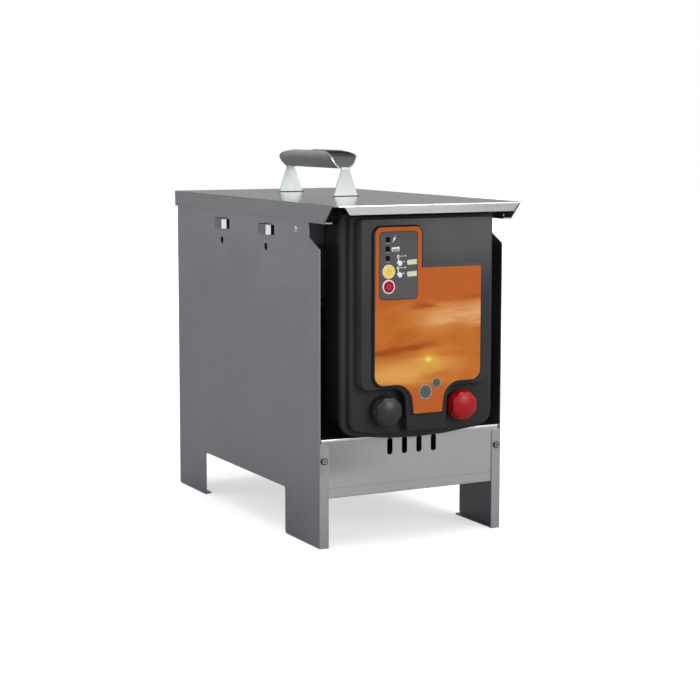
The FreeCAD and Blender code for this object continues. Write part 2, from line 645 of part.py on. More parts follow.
node("lid_hinge_rivets", group(*[rivet("y", x, d(RREAR + 1.2), 379, T + 1.2, r=1.6, head=3.0, rise=0.9) for x in (-48, -16, 16, 48)]))

# ---------------------------------------------------------------- energizer casing

RH, RF, FF, FC = P["rim_half"], P["rim_front"], P["floor_front"], P["face_front"]
RZ0, RZ1 = P["rim_low"], P["rim_top"]
front = Body("front_cover")
rim = [(-RH, RZ1), (-RH, RZ0 + 11), (-70, RZ0 + 5), (-36, RZ0 + 1.3), (0, RZ0), (36, RZ0 + 1.3), (70, RZ0 + 5), (RH, RZ0 + 11), (RH, RZ1)]
front.pad("XZ_Plane", [rim], d(-6), d(RF))
front.dress("Fillet", 16.0, lambda e: at_points(e, "y", [(-RH, RZ0 + 11), (RH, RZ0 + 11)]))
front.dress("Fillet", 4.0, lambda e: at_points(e, "y", [(-RH, RZ1), (RH, RZ1)]))
front.dress("Fillet", 2.0, lambda e: all(near(p.y, d(RF).v) for p in ends(e)))
mid = [(-91, 376.6), (-91, 136), (-60, 131), (-25, 128.5), (25, 128.5), (60, 131), (91, 136), (91, 376.6)]
front.pad("XZ_Plane", [mid], d(RF + 0.5), d(FF))
front.dress("Fillet", 12.0, lambda e: at_points(e, "y", [(-91, 136), (91, 136)]))
front.dress("Fillet", 3.0, lambda e: at_points(e, "y", [(-91, 376.6), (91, 376.6)]))
front.dress("Fillet", 2.0, lambda e: all(near(p.y, d(FF).v) for p in ends(e)))
isle = [(-84.6, 374), (-84, 300), (-84, 182.4), (-28, 182.4), (-25.5, 133), (25.5, 133), (28, 182.4), (84, 182.4), (84, 300), (84.6, 374)]
FI = FC + P["plateau_rise"]
front.pad("XZ_Plane", [isle], d(FF + 0.5), d(FI))
front.dress("Fillet", 15.0, lambda e: at_points(e, "y", [(-28, 182.4), (28, 182.4)]))
front.dress("Fillet", 9.0, lambda e: at_points(e, "y", [(-84, 182.4), (84, 182.4)]))
front.dress("Fillet", 3.0, lambda e: at_points(e, "y", [(-84.6, 374), (84.6, 374)]))
front.dress("Fillet", 1.8, lambda e: all(near(p.y, d(FI).v) for p in ends(e)))
# The raised plateau that carries the label, with a chamfer all round.
PM = P["plateau_margin"]
PX0, PX1, PS = P["label_half"] + PM, P["label_tab_right"] + PM, P["label_shelf"] - PM
PT = P["label_tab_top"] + 1.9
plateau = [(-21.5, P["label_low"] - 2.0), (21.5, P["label_low"] - 2.0), (24.5, PS), (PX0, PS), (PX0, P["label_top"] + PM),
           (PX1, P["label_top"] + PM), (PX1, PT), (-PX0, PT), (-PX0, PS), (-24.5, PS)]
front.pad("XZ_Plane", [plateau], d(FI + 0.5), d(FC))
front.dress("Fillet", 19.0, lambda e: at_points(e, "y", [(-24.5, PS), (24.5, PS)]) and all(p.y < d(FI + 0.6).v for p in ends(e)))
front.dress("Fillet", 14.0, lambda e: at_points(e, "y", [(-PX0, PS), (PX0, PS)]) and all(p.y < d(FI + 0.6).v for p in ends(e)))
front.dress("Fillet", 11.0, lambda e: at_points(e, "y", [(-PX0, PT), (PX1, PT)]) and all(p.y < d(FI + 0.6).v for p in ends(e)))
front.dress("Fillet", 4.0, lambda e: at_points(e, "y", [(PX0, P["label_top"] + PM)]) and all(p.y < d(FI + 0.6).v for p in ends(e)))
front.dress("Chamfer", 2.2, lambda e: all(near(p.y, d(FC).v) for p in ends(e)))
WL = P["wall"]
front.pocket("XZ_Plane", [rect(-86, 86, 139, 369)], d(-5), d(FF + WL))
front.pocket("XZ_Plane", [rect(-81.2, 81.2, 190, 368.5)], d(FF + WL + 1), d(FI + WL))
front.pocket("XZ_Plane", [rect(-17, 17, 140, 191)], d(FF + WL + 1), d(FI + WL))
front.pocket("XZ_Plane", [[(-68, 191), (68, 191), (68, 317), (-10, 317), (-10, 364), (-68, 364)]], d(FI + WL + 1), d(FC + WL))
KX, YZ, RZ = P["key_x"], P["yellow_z"], P["red_z"]
BOSS = [(-72, 200), (72, 200), (-72, 358), (72, 358)]
front.pad("XZ_Plane", [("circle", x, z, 4) for x, z in BOSS], d(FI + WL - 0.5), d(-23.6))
front.pocket("XZ_Plane", [("circle", x, z, 1.55) for x, z in BOSS], d(-23), d(FI + WL + 0.4))
front.pocket("XZ_Plane", [("circle", KX, YZ, P["key_radius"] + 0.3), ("circle", KX, RZ, P["key_radius"] + 0.3)], d(FC - 1), d(FC + WL + 1))
LEDX, LEDZ = -52.9, (330.0, 340.4, 350.8)
front.pocket("XZ_Plane", [rect(LEDX - 2.6, LEDX + 2.6, z - 2.6, z + 2.6) for z in LEDZ], d(FC - 1), d(FC + WL + 1))
TX, TZ = P["knob_x"], P["knob_z"]
front.pocket("XZ_Plane", [("circle", -TX, TZ, P["stud_radius"] + 0.05), ("circle", TX, TZ, P["stud_radius"] + 0.05)], d(FF - 1), d(FF + WL + 1))
SCREWS = [(-94.6, 165), (94.6, 165), (-94.6, 255), (94.6, 255), (-94.6, 350), (94.6, 350)]
front.pocket("XZ_Plane", [("circle", x, z, 1.55) for x, z in SCREWS], d(-5), d(RF + 1.2))
front.done()

HO, HL, HT2, HREAR = P["housing_half"], P["housing_low"], P["housing_high"], P["housing_rear"]
hs = Body("rear_housing")
hs.pad("XZ_Plane", [rect(-97, 97, 133.5, 374)], d(-5), d(-1))
hs.dress("Fillet", 10.0, lambda e: along(e, "y"))
hs.pad("XZ_Plane", [rect(-HO, HO, HL, HT2)], d(-1.5), d(HREAR))
hs.dress("Fillet", 8.0, lambda e: at_points(e, "y", [(-HO, HL), (HO, HL), (-HO, HT2), (HO, HT2)]))
hs.dress("Fillet", 5.0, lambda e: all(near(p.y, d(HREAR).v) for p in ends(e)))
hs.pocket("XZ_Plane", [rect(-HO + WL, HO - WL, HL + WL, HT2 - WL)], d(-6), d(HREAR - WL))
hs.pad("XZ_Plane", [("circle", -60, 356, 6), ("circle", 60, 356, 6)], d(HREAR - WL + 0.5), d(HREAR - 13))
hs.pocket("XZ_Plane", [("circle", -60, 356, 2.55), ("circle", 60, 356, 2.55)], d(HREAR + 1), d(HREAR - 11.5))
hs.pocket("XZ_Plane", [("circle", -20, 160, 4.5), ("circle", 20, 160, 4.5)], d(HREAR + 1), d(HREAR - WL - 1))
hs.pocket("XZ_Plane", [("circle", x, z, 1.6) for x, z in SCREWS], d(-6), d(0))
hs.done()

node("cover_gasket", cut(box(-92, 92, d(-6), d(-5), 138, 372), box(-88.5, 88.5, d(-7), d(-4), 141.5, 368.5)))
node("cover_screws", group(*[pan_screw("y", x, d(-1), z, 9.2, r=1.5, head=2.6, rise=1.6, slot=False) for x, z in SCREWS]))
node("crossbar_bolts", group(*[fuse(hexagon("y", 4.6, x, d(CB + T), 356, 3.5), cyl("-y", 2.5, x, d(CB + T), 356, 11.5)) for x in (-60, 60)]))
node("support_pads", group(*[box(x, x + 22, d(5), d(20), P["apron_high"], HL) for x in (-82, 60)]))

# ---------------------------------------------------------------- face label, keys and indicators

LH, LT = P["label_half"], P["label_thick"]
label = Body("face_label")
TABR = P["label_tab_right"]
label.pad("XZ_Plane", [[(-18.5, P["label_low"]), (18.5, P["label_low"]), (21.5, P["label_shelf"]), (LH, P["label_shelf"]), (LH, P["label_top"]),
                        (TABR, P["label_top"]), (TABR, P["label_tab_top"]), (-LH + 0.5, P["label_tab_top"]), (-LH, P["label_shelf"]), (-21.5, P["label_shelf"])]], d(FC), d(FC - LT))
label.dress("Fillet", 22.0, lambda e: at_points(e, "y", [(-21.5, P["label_shelf"]), (21.5, P["label_shelf"])]))
label.dress("Fillet", 11.5, lambda e: at_points(e, "y", [(-LH, P["label_shelf"]), (LH, P["label_shelf"])]))
label.dress("Fillet", 7.5, lambda e: at_points(e, "y", [(TABR, P["label_tab_top"]), (-LH + 0.5, P["label_tab_top"])]))
label.dress("Fillet", 2.0, lambda e: at_points(e, "y", [(LH, P["label_top"]), (-18.5, P["label_low"]), (18.5, P["label_low"])]))
KEYS = [("circle", KX, YZ, P["key_radius"] + 0.3), ("circle", KX, RZ, P["key_radius"] + 0.3)]
WINDOWS = [rect(LEDX - 2.6, LEDX + 2.6, z - 2.6, z + 2.6) for z in LEDZ]
label.pocket("XZ_Plane", KEYS, d(FC - 1), d(FC + 1))
label.pocket("XZ_Plane", WINDOWS, d(FC - 1), d(FC + 1))
label.done()

panel = Body("control_panel")
panel.pad("XZ_Plane", [rect(-63.3, -14.4, 283.4, 359.7)], d(FC - LT), d(FC - LT - 0.3))
panel.dress("Fillet", 5.0, lambda e: along(e, "y"))
panel.pocket("XZ_Plane", KEYS, d(FC - LT - 1), d(FC - LT + 1))
panel.pocket("XZ_Plane", WINDOWS, d(FC - LT - 1), d(FC - LT + 1))
panel.done()

node("label_badges", group(cyl("y", 8.4, -3.6, d(FC - LT - 0.3), 177.2, 0.3), cyl("y", 5.7, 10.6, d(FC - LT - 0.3), 186.6, 0.3)))
node("led_windows", group(*[box(LEDX - 2.55, LEDX + 2.55, d(FC - 1.1), d(FC + 2.4), z - 2.55, z + 2.55) for z in LEDZ]))
PCB0, PCB1 = -23.6, -22.0
node("status_leds", group(*[fuse(cyl("-y", 1.5, LEDX, d(PCB0), z, 6), cyl("-y", 1.9, LEDX, d(PCB0), z, 1)) for z in LEDZ]))


def key(name, z):
    k = Body(name)
    k.b.Placement.Base = V(0, 0, 0)
    k.pad("XZ_Plane", [("circle", KX, z, P["key_radius"])], d(FC + WL + 0.3), d(FC - 1.4))
    k.dress("Fillet", 0.7, lambda e: e.Curve.TypeId == "Part::GeomCircle" and near(e.CenterOfMass.y, d(FC - 1.4).v))
    k.pad("XZ_Plane", [("circle", KX, z, P["key_radius"] + 0.3)], d(FC + WL + 1.3), d(FC + WL + 0.3))
    k.pad("XZ_Plane", [("circle", KX, z, 3.4)], d(-26.6), d(FC + WL + 1.0))
    return k.done()


key("yellow_key", YZ)
key("red_key", RZ)
node("key_switches", group(*[cut(box(KX - 6, KX + 6, d(-27.9), d(PCB0), z - 6, z + 6), cyl("y", 3.6, KX, d(-28.9), z, 3.7)) for z in (YZ, RZ)]))

board = cut(box(-78, 78, d(PCB0), d(PCB1), 194, 364), *[cyl("y", 1.6, x, d(PCB0 - 1), z, 4) for x, z in BOSS])
node("circuit_board", board)
node("board_screws", group(*[pan_screw("y", x, d(PCB1), z, 7.0, r=1.5, head=2.6, rise=1.6, slot=False) for x, z in BOSS]))

# ---------------------------------------------------------------- energizer internals

node("storage_capacitor", fuse(cyl("z", 24, 48, d(20), 215, 92), cyl("z", 3, 40, d(20), 307, 5), cyl("z", 3, 56, d(20), 307, 5)))
node("capacitor_clamp", fuse(cut(cyl("z", 26, 48, d(20), 255, 12), cyl("z", 24.05, 48, d(20), 254, 14)), box(30, 66, d(45.2), d(HREAR - WL), 255, 267)))
core = cut(box(-74, -8, d(9), d(41), 224, 280), box(-64, -52, d(8), d(42), 234, 270), box(-30, -18, d(8), d(42), 234, 270))
node("transformer_core", core)
node("transformer_winding", cut(box(-63.8, -18.2, d(3), d(HREAR - WL), 234.2, 269.8), box(-52, -30, d(9), d(41), 233, 271)))

# ---------------------------------------------------------------- terminals and knobs

SR = P["stud_radius"]
node("terminal_studs", group(*[fuse(cyl("y", SR, x, d(FF - 15.5), TZ, 31), hexagon("y", 5.8, x, d(FF + WL), TZ, 4)) for x in (-TX, TX)]))
node("terminal_washers", group(*[cut(cyl("y", 8.5, x, d(FF - 1.5), TZ, 1.5), cyl("y", SR + 0.1, x, d(FF - 2), TZ, 3)) for x in (-TX, TX)]))
node("stud_nuts", group(*[cut(hexagon("y", 5.8, x, d(FF + WL + 4), TZ, 4), cyl("y", SR + 0.02, x, d(FF + WL + 3), TZ, 6)) for x in (-TX, TX)]))


def knob(name, x):
    k = Body(name)
    R, L = P["knob_radius"], P["knob_depth"]
    place(k.b, x, d(FF - 1.6), TZ)
    k.revolve([[(5.05, 0), (R, 0), (R, -5), (R - 0.7, -9), (R - 2.4, -13.2), (R - 5.0, -L + 1.6), (R - 7.0, -L), (0, -L), (0, -L + 3), (5.05, -L + 3)]])
    flute = k.pocket("XZ_Plane", [("circle", R + 2.2, 0, 5.4)], -6.5, -L - 1)
    k.polar(flute, 8)
    return k.done()


def insert(name, x):
    L = P["knob_depth"]
    return node(name, cut(cyl("-y", 5.0, x, d(FF - 1.8), TZ, L - 3.4), cyl("-y", SR + 0.05, x, d(FF - 1), TZ, L)))


knob("black_knob", -TX)
insert("black_knob_insert", -TX)
knob("red_knob", TX)
insert("red_knob_insert", TX)

# ---------------------------------------------------------------- battery and leads

BH, BF = P["battery_half"], P["battery_front"]
BR = BF + P["battery_length"]
BZ = P["tray_low"] + T
bat = Body("battery_case")
bat.pad("XY_Plane", [rect(-BH, BH, d(BF), d(BR))], BZ, P["battery_box_top"])
bat.dress("Fillet", 5.0, lambda e: along(e, "z"))
bat.done()
cov = Body("battery_cover")
cov.pad("XY_Plane", [rect(-BH, BH, d(BF), d(BR))], P["battery_box_top"], P["battery_top"])
cov.dress("Fillet", 5.0, lambda e: along(e, "z"))
cov.dress("Fillet", 2.0, lambda e: all(near(p.z, P["battery_top"].v) for p in ends(e)))
cov.pocket("XY_Plane", [("circle", 0, d(BF + 58 + 34 * i), 9.1) for i in range(6)], P["battery_top"] + 1, P["battery_top"] - 4)
cov.done()
node("battery_vent_plugs", group(*[fuse(cyl("z", 9.0, 0, d(BF + 58 + 34 * i), P["battery_top"] - 4, 6), box(-6, 6, d(BF + 57 + 34 * i), d(BF + 59 + 34 * i), P["battery_top"] + 1, P["battery_top"] + 4)) for i in range(6)]))
PX, PD = 62, BF + 26
node("battery_posts", group(*[fuse(cyl("z", 13, x, d(PD), P["battery_top"], 2), cyl("z", 8.75, x, d(PD), P["battery_top"] + 2, 17)) for x in (-PX, PX)]))
CZ = P["battery_top"] + 3


def clamp(x):
    ring = cyl("z", 13.5, x, d(PD), CZ, 11)
    lug = box(x - 6, x + 6, d(PD - 24), d(PD - 8), CZ + 0.5, CZ + 10.5)
    ear = box(x - 5, x + 5, d(PD + 8), d(PD + 21), CZ + 1, CZ + 10)
    hole = cyl("z", 8.8, x, d(PD), CZ - 1, 13)
    slit = box(x - 1, x + 1, d(PD + 5), d(PD + 23), CZ - 1, CZ + 12)
    return cut(fuse(ring, lug, ear), hole, slit)


node("battery_clamps", group(clamp(-PX), clamp(PX)))
node("lead_grommets", group(*[cut(fuse(cyl("y", 4.45, x, d(HREAR - WL - 1.5), 160, 6), cyl("y", 6.5, x, d(HREAR), 160, 1.5)), cyl("y", 2.0, x, d(HREAR - 8), 160, 12)) for x in (-20, 20)]))


def lead(name, sgn):
    """A lead of constant section: straight runs joined by tangent arcs."""
    y0, y1, y2 = (d(HREAR - 9)).v, d(HREAR + 25).v, d(PD - 24).v
    zt = (CZ + 5.5).v
    pts = [V(sgn * 20, y0, 160), V(sgn * 20, y1, 160), V(sgn * 62, y1, zt), V(sgn * 62, y2, zt)]
    edges = []
    start = pts[0]
    for i in (1, 2):
        a, b = (pts[i - 1] - pts[i]), (pts[i + 1] - pts[i])
        turn = math.pi - a.getAngle(b)
        rad = 0.47 * min(a.Length, b.Length) / math.tan(turn / 2)
        cutback = rad * math.tan(turn / 2)
        p0 = pts[i] + a.normalize() * cutback
        p1 = pts[i] + b.normalize() * cutback
        mid_dir = (a + b).normalize()
        centre = pts[i] + mid_dir * (rad / math.cos(turn / 2))
        edges.append(Part.LineSegment(start, p0).toShape())
        edges.append(Part.Arc(p0, centre - mid_dir * rad, p1).toShape())
        start = p1
        print(name, "bend radius %.1f" % rad)
    edges.append(Part.LineSegment(start, pts[3]).toShape())
    path = Part.Wire(edges)
    ring = Part.Wire(Part.Circle(pts[0], V(0, 1, 0), 1.9).toShape())
    tube = path.makePipeShell([ring], True, False)
    o = doc.addObject("Part::Feature", fresh("lead"))
    o.Shape = tube if tube.ShapeType == "Solid" else tube.Solids[0]
    o.Placement = FreeCAD.Placement()
    print(name, "volume %.1f expected %.1f" % (o.Shape.Volume, math.pi * 1.9 ** 2 * path.Length))
    return node(name, o)


lead("red_lead", 1)
lead("black_lead", -1)

ROD = 92
node("hold_down_bar", cut(box(-100, 100, d(299), d(313), P["battery_top"], P["battery_top"] + 3), *[cyl("z", 3.3, x, d(306), P["battery_top"] - 1, 5) for x in (-ROD, ROD)]))
node("hold_down_rods", group(*[fuse(cyl("z", 3.0, x, d(306), P["tray_low"], 203), cyl("z", 5.5, x, d(306), P["tray_low"] - 2.5, 2.5)) for x in (-ROD, ROD)]))
node("hold_down_nuts", group(*[cut(fuse(cyl("z", 6, x, d(306), P["battery_top"] + 3, 6), box(x - 12, x + 12, d(304.8), d(307.2), P["battery_top"] + 5, P["battery_top"] + 14)), cyl("z", 3.02, x, d(306), P["battery_top"] + 2, 13)) for x in (-ROD, ROD)]))

# ---------------------------------------------------------------- check and write

doc.recompute()
bad = [o.Name + " " + o.Label for o in doc.Objects if "Invalid" in o.State or "Error" in o.State]
if bad:
    raise RuntimeError("failed objects: " + ", ".join(bad))
names = set()
low, high = V(1e9, 1e9, 1e9), V(-1e9, -1e9, -1e9)
for name, obj in nodes:
    shape = obj.Shape
    if shape.isNull() or not shape.isValid() or not shape.Solids:
        raise RuntimeError("bad shape: " + name)
    if name in names or obj.Label != name or len(name) >= 60:
        raise RuntimeError("bad name: " + name)
    names.add(name)
    bb = shape.BoundBox
    low = V(min(low.x, bb.XMin), min(low.y, bb.YMin), min(low.z, bb.ZMin))
    high = V(max(high.x, bb.XMax), max(high.y, bb.YMax), max(high.z, bb.ZMax))
    shape.exportStep("parts/%s.step" % name)
    print("%-22s %2d solid(s) %12.1f mm3" % (name, len(shape.Solids), shape.Volume))
print("%d nodes, box %s to %s" % (len(nodes), tuple(round(c, 2) for c in low), tuple(round(c, 2) for c in high)))
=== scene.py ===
import math

import bmesh
import bpy
from mathutils import Matrix, Quaternion, Vector


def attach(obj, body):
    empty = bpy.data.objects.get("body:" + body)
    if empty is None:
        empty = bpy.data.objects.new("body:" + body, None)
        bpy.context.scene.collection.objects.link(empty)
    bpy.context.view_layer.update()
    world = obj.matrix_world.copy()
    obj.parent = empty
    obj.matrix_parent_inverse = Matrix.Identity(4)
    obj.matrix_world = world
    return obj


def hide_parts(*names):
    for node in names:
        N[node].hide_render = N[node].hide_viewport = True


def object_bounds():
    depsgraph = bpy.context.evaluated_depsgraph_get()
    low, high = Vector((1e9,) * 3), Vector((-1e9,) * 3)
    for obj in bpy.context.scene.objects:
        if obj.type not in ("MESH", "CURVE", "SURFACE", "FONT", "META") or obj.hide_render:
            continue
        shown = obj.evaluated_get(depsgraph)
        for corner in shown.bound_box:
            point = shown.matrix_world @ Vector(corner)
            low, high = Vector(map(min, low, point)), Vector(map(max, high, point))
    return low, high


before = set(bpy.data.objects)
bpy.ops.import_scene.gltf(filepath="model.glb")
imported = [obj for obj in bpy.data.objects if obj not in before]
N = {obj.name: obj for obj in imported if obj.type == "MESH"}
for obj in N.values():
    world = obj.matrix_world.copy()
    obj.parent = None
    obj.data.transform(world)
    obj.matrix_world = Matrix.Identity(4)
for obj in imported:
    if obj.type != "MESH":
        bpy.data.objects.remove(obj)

CAD_BOX = [[float(c) for c in v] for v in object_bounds()]
MM = 0.001


def Y(yc):
    """Metres along the frame's Y for a depth in mm behind the front legs' plane."""
    return (yc - 189.2) * MM


# ------------------------------------------------------------------ camera, floor, light

cam_data = bpy.data.cameras.new("camera")
cam = bpy.data.objects.new("camera", cam_data)
bpy.context.scene.collection.objects.link(cam)
bpy.context.scene.camera = cam
cam_data.lens = 90.485
cam_data.sensor_width = 36.0
cam_data.clip_start = 0.05
cam_data.clip_end = 60.0
cam_data.shift_y = -0.0244
AZ, PITCH = math.radians(27.473), math.radians(-6.928)
forward = Vector((math.sin(AZ) * math.cos(PITCH), math.cos(AZ) * math.cos(PITCH), math.sin(PITCH)))
cam.rotation_mode = "QUATERNION"
cam.location = (-0.9866, -1.9302, 0.4830)
cam.rotation_quaternion = forward.to_track_quat("-Z", "Y") @ Quaternion((0, 0, 1), math.radians(0.078))

scene = bpy.context.scene
scene.view_settings.view_transform = "Standard"
scene.view_settings.look = "None"
scene.view_settings.exposure = 0.0

world = bpy.data.worlds.new("studio")
scene.world = world
world.use_nodes = True
wt = world.node_tree
wt.nodes.clear()
w_out = wt.nodes.new("ShaderNodeOutputWorld")
w_bg = wt.nodes.new("ShaderNodeBackground")
w_geo = wt.nodes.new("ShaderNodeTexCoord")
w_sep = wt.nodes.new("ShaderNodeSeparateXYZ")
w_ramp = wt.nodes.new("ShaderNodeValToRGB")
w_path = wt.nodes.new("ShaderNodeLightPath")
w_mix = wt.nodes.new("ShaderNodeMix")
w_mix.data_type = "RGBA"
w_map = wt.nodes.new("ShaderNodeMapRange")
w_map.inputs["From Min"].default_value = -1.0
w_map.inputs["From Max"].default_value = 1.0
w_ramp.color_ramp.elements[0].position = 0.40
w_ramp.color_ramp.elements[0].color = (0.30, 0.30, 0.31, 1)
w_ramp.color_ramp.elements[1].position = 0.85
w_ramp.color_ramp.elements[1].color = (0.60, 0.605, 0.61, 1)
e = w_ramp.color_ramp.elements.new(0.53)
e.color = (0.40, 0.40, 0.405, 1)
wt.links.new(w_geo.outputs["Generated"], w_sep.inputs[0])
wt.links.new(w_sep.outputs["Z"], w_map.inputs["Value"])
wt.links.new(w_map.outputs[0], w_ramp.inputs[0])
wt.links.new(w_path.outputs["Is Camera Ray"], w_mix.inputs[0])
wt.links.new(w_ramp.outputs[0], w_mix.inputs[6])
w_mix.inputs[7].default_value = (1.0, 1.0, 1.0, 1)
wt.links.new(w_mix.outputs[2], w_bg.inputs[0])
w_bg.inputs[1].default_value = 1.0
wt.links.new(w_bg.outputs[0], w_out.inputs[0])


def area_light(name, at, look, size, power, size_y=None, color=(1, 1, 1)):
    data = bpy.data.lights.new(name, "AREA")
    data.shape = "RECTANGLE"
    data.size = size
    data.size_y = size_y or size
    data.energy = power
    data.color = color
    obj = bpy.data.objects.new(name, data)
    scene.collection.objects.link(obj)
    obj.location = at
    obj.rotation_mode = "QUATERNION"
    obj.rotation_quaternion = (Vector(look) - Vector(at)).to_track_quat("-Z", "Y")
    return obj


area_light("softbox_top", (0.2, -0.3, 2.6), (0, 0, 0.2), 2.6, 46, 2.2)
area_light("softbox_front", (0.9, -2.6, 1.3), (0, 0, 0.22), 1.3, 25, 1.3)
area_light("softbox_left", (-2.6, 0.9, 1.5), (0, 0, 0.25), 1.4, 12, 1.4)


def grid_floor():
    bm = bmesh.new()
    rings, spokes = 26, 64
    prev = [bm.verts.new((0, 0, 0))]
    for i in range(1, rings + 1):
        r = 9.0 * (i / rings) ** 1.6
        cur = [bm.verts.new((r * math.cos(2 * math.pi * k / spokes), r * math.sin(2 * math.pi * k / spokes), 0)) for k in range(spokes)]
        for k in range(spokes):
            k2 = (k + 1) % spokes
            if len(prev) == 1:
                bm.faces.new((prev[0], cur[k], cur[k2]))
            else:
                bm.faces.new((prev[k], cur[k], cur[k2], prev[k2]))
        prev = cur
    me = bpy.data.meshes.new("floor")
    bm.to_mesh(me)
    bm.free()
    o = bpy.data.objects.new("floor", me)
    scene.collection.objects.link(o)
    o.location.z = CAD_BOX[0][2] - 0.0002
    return o


floor = grid_floor()


# ------------------------------------------------------------------ materials

class Mat:
    """A node material with a few short helpers. Coordinates are object coordinates, in metres."""

    def __init__(self, name, **sockets):
        self.m = bpy.data.materials.new(name)
        self.m.use_nodes = True
        self.t = self.m.node_tree
        self.t.nodes.clear()
        self.out = self.t.nodes.new("ShaderNodeOutputMaterial")
        self.b = self.t.nodes.new("ShaderNodeBsdfPrincipled")
        self.t.links.new(self.b.outputs[0], self.out.inputs[0])
        self.co = self.t.nodes.new("ShaderNodeTexCoord").outputs["Object"]
        for k, v in sockets.items():
            self.set(k, v)

    def set(self, key, value):
        names = {"base": "Base Color", "metal": "Metallic", "rough": "Roughness", "ior": "IOR", "spec": "Specular IOR Level",
                 "coat": "Coat Weight", "coat_rough": "Coat Roughness", "sheen": "Sheen Weight", "aniso": "Anisotropic",
                 "emit": "Emission Color", "emit_power": "Emission Strength", "trans": "Transmission Weight", "alpha": "Alpha",
                 "normal": "Normal", "subsurface": "Subsurface Weight"}
        sock = self.b.inputs[names[key]]
        if hasattr(value, "node"):
            self.t.links.new(value, sock)
        elif key in ("base", "emit"):
            sock.default_value = (*value[:3], 1.0)
        else:
            sock.default_value = value

    def put(self, sock, value):
        if hasattr(value, "node"):
            self.t.links.new(value, sock)
        elif isinstance(value, (tuple, list)):
            n = len(sock.default_value)
            sock.default_value = tuple(value) + (1.0,) * (n - len(value))
        else:
            sock.default_value = value

    def mapped(self, scale=(1, 1, 1), rot=(0, 0, 0), loc=(0, 0, 0), vec=None):
        n = self.t.nodes.new("ShaderNodeMapping")
        self.t.links.new(vec or self.co, n.inputs[0])
        n.inputs["Scale"].default_value = scale
        n.inputs["Rotation"].default_value = rot
        n.inputs["Location"].default_value = loc
        return n.outputs[0]

    def noise(self, scale, detail=3.0, rough=0.5, vec=None, distort=0.0):
        n = self.t.nodes.new("ShaderNodeTexNoise")
        n.noise_dimensions = "3D"
        self.t.links.new(vec or self.co, n.inputs["Vector"])
        n.inputs["Scale"].default_value = scale
        n.inputs["Detail"].default_value = detail
        n.inputs["Roughness"].default_value = rough
        n.inputs["Distortion"].default_value = distort
        return n.outputs[0]

    def cells(self, scale, vec=None, out="Color", rand=1.0):
        n = self.t.nodes.new("ShaderNodeTexVoronoi")
        self.t.links.new(vec or self.co, n.inputs["Vector"])
        n.inputs["Scale"].default_value = scale
        n.inputs["Randomness"].default_value = rand
        return n.outputs[out]

    def math(self, op, a, b=None, clamp=False):
        n = self.t.nodes.new("ShaderNodeMath")
        n.operation = op
        n.use_clamp = clamp
        self.put(n.inputs[0], a)
        if b is not None:
            self.put(n.inputs[1], b)
        return n.outputs[0]

    def remap(self, x, a, b, c=0.0, d=1.0, smooth=True):
        n = self.t.nodes.new("ShaderNodeMapRange")
        n.interpolation_type = "SMOOTHSTEP" if smooth else "LINEAR"
        self.put(n.inputs["Value"], x)
        n.inputs["From Min"].default_value = a
        n.inputs["From Max"].default_value = b
        n.inputs["To Min"].default_value = c
        n.inputs["To Max"].default_value = d
        return n.outputs[0]

    def xyz(self, vec=None):
        n = self.t.nodes.new("ShaderNodeSeparateXYZ")
        self.t.links.new(vec or self.co, n.inputs[0])
        return n.outputs[0], n.outputs[1], n.outputs[2]

    def ramp(self, fac, stops, ease="LINEAR"):
        n = self.t.nodes.new("ShaderNodeValToRGB")
        n.color_ramp.interpolation = ease
        els = n.color_ramp.elements
        els[0].position, els[0].color = stops[0][0], (*stops[0][1], 1)
        els[1].position, els[1].color = stops[-1][0], (*stops[-1][1], 1)
        for p, c in stops[1:-1]:
            el = els.new(p)
            el.color = (*c, 1)
        self.put(n.inputs[0], fac)
        return n.outputs[0]

    def mix(self, fac, a, b, blend="MIX"):
        n = self.t.nodes.new("ShaderNodeMix")
        n.data_type = "RGBA"
        n.blend_type = blend
        self.put(n.inputs[0], fac)
        self.put(n.inputs[6], a)
        self.put(n.inputs[7], b)
        return n.outputs[2]

    def bump(self, height, strength=0.3, distance=0.0001, normal=None):
        n = self.t.nodes.new("ShaderNodeBump")
        n.inputs["Strength"].default_value = strength
        n.inputs["Distance"].default_value = distance
        self.t.links.new(height, n.inputs["Height"])
        if normal is not None:
            self.t.links.new(normal, n.inputs["Normal"])
        return n.outputs[0]


def tint(c, k):
    return tuple(min(1.0, v * k) for v in c)


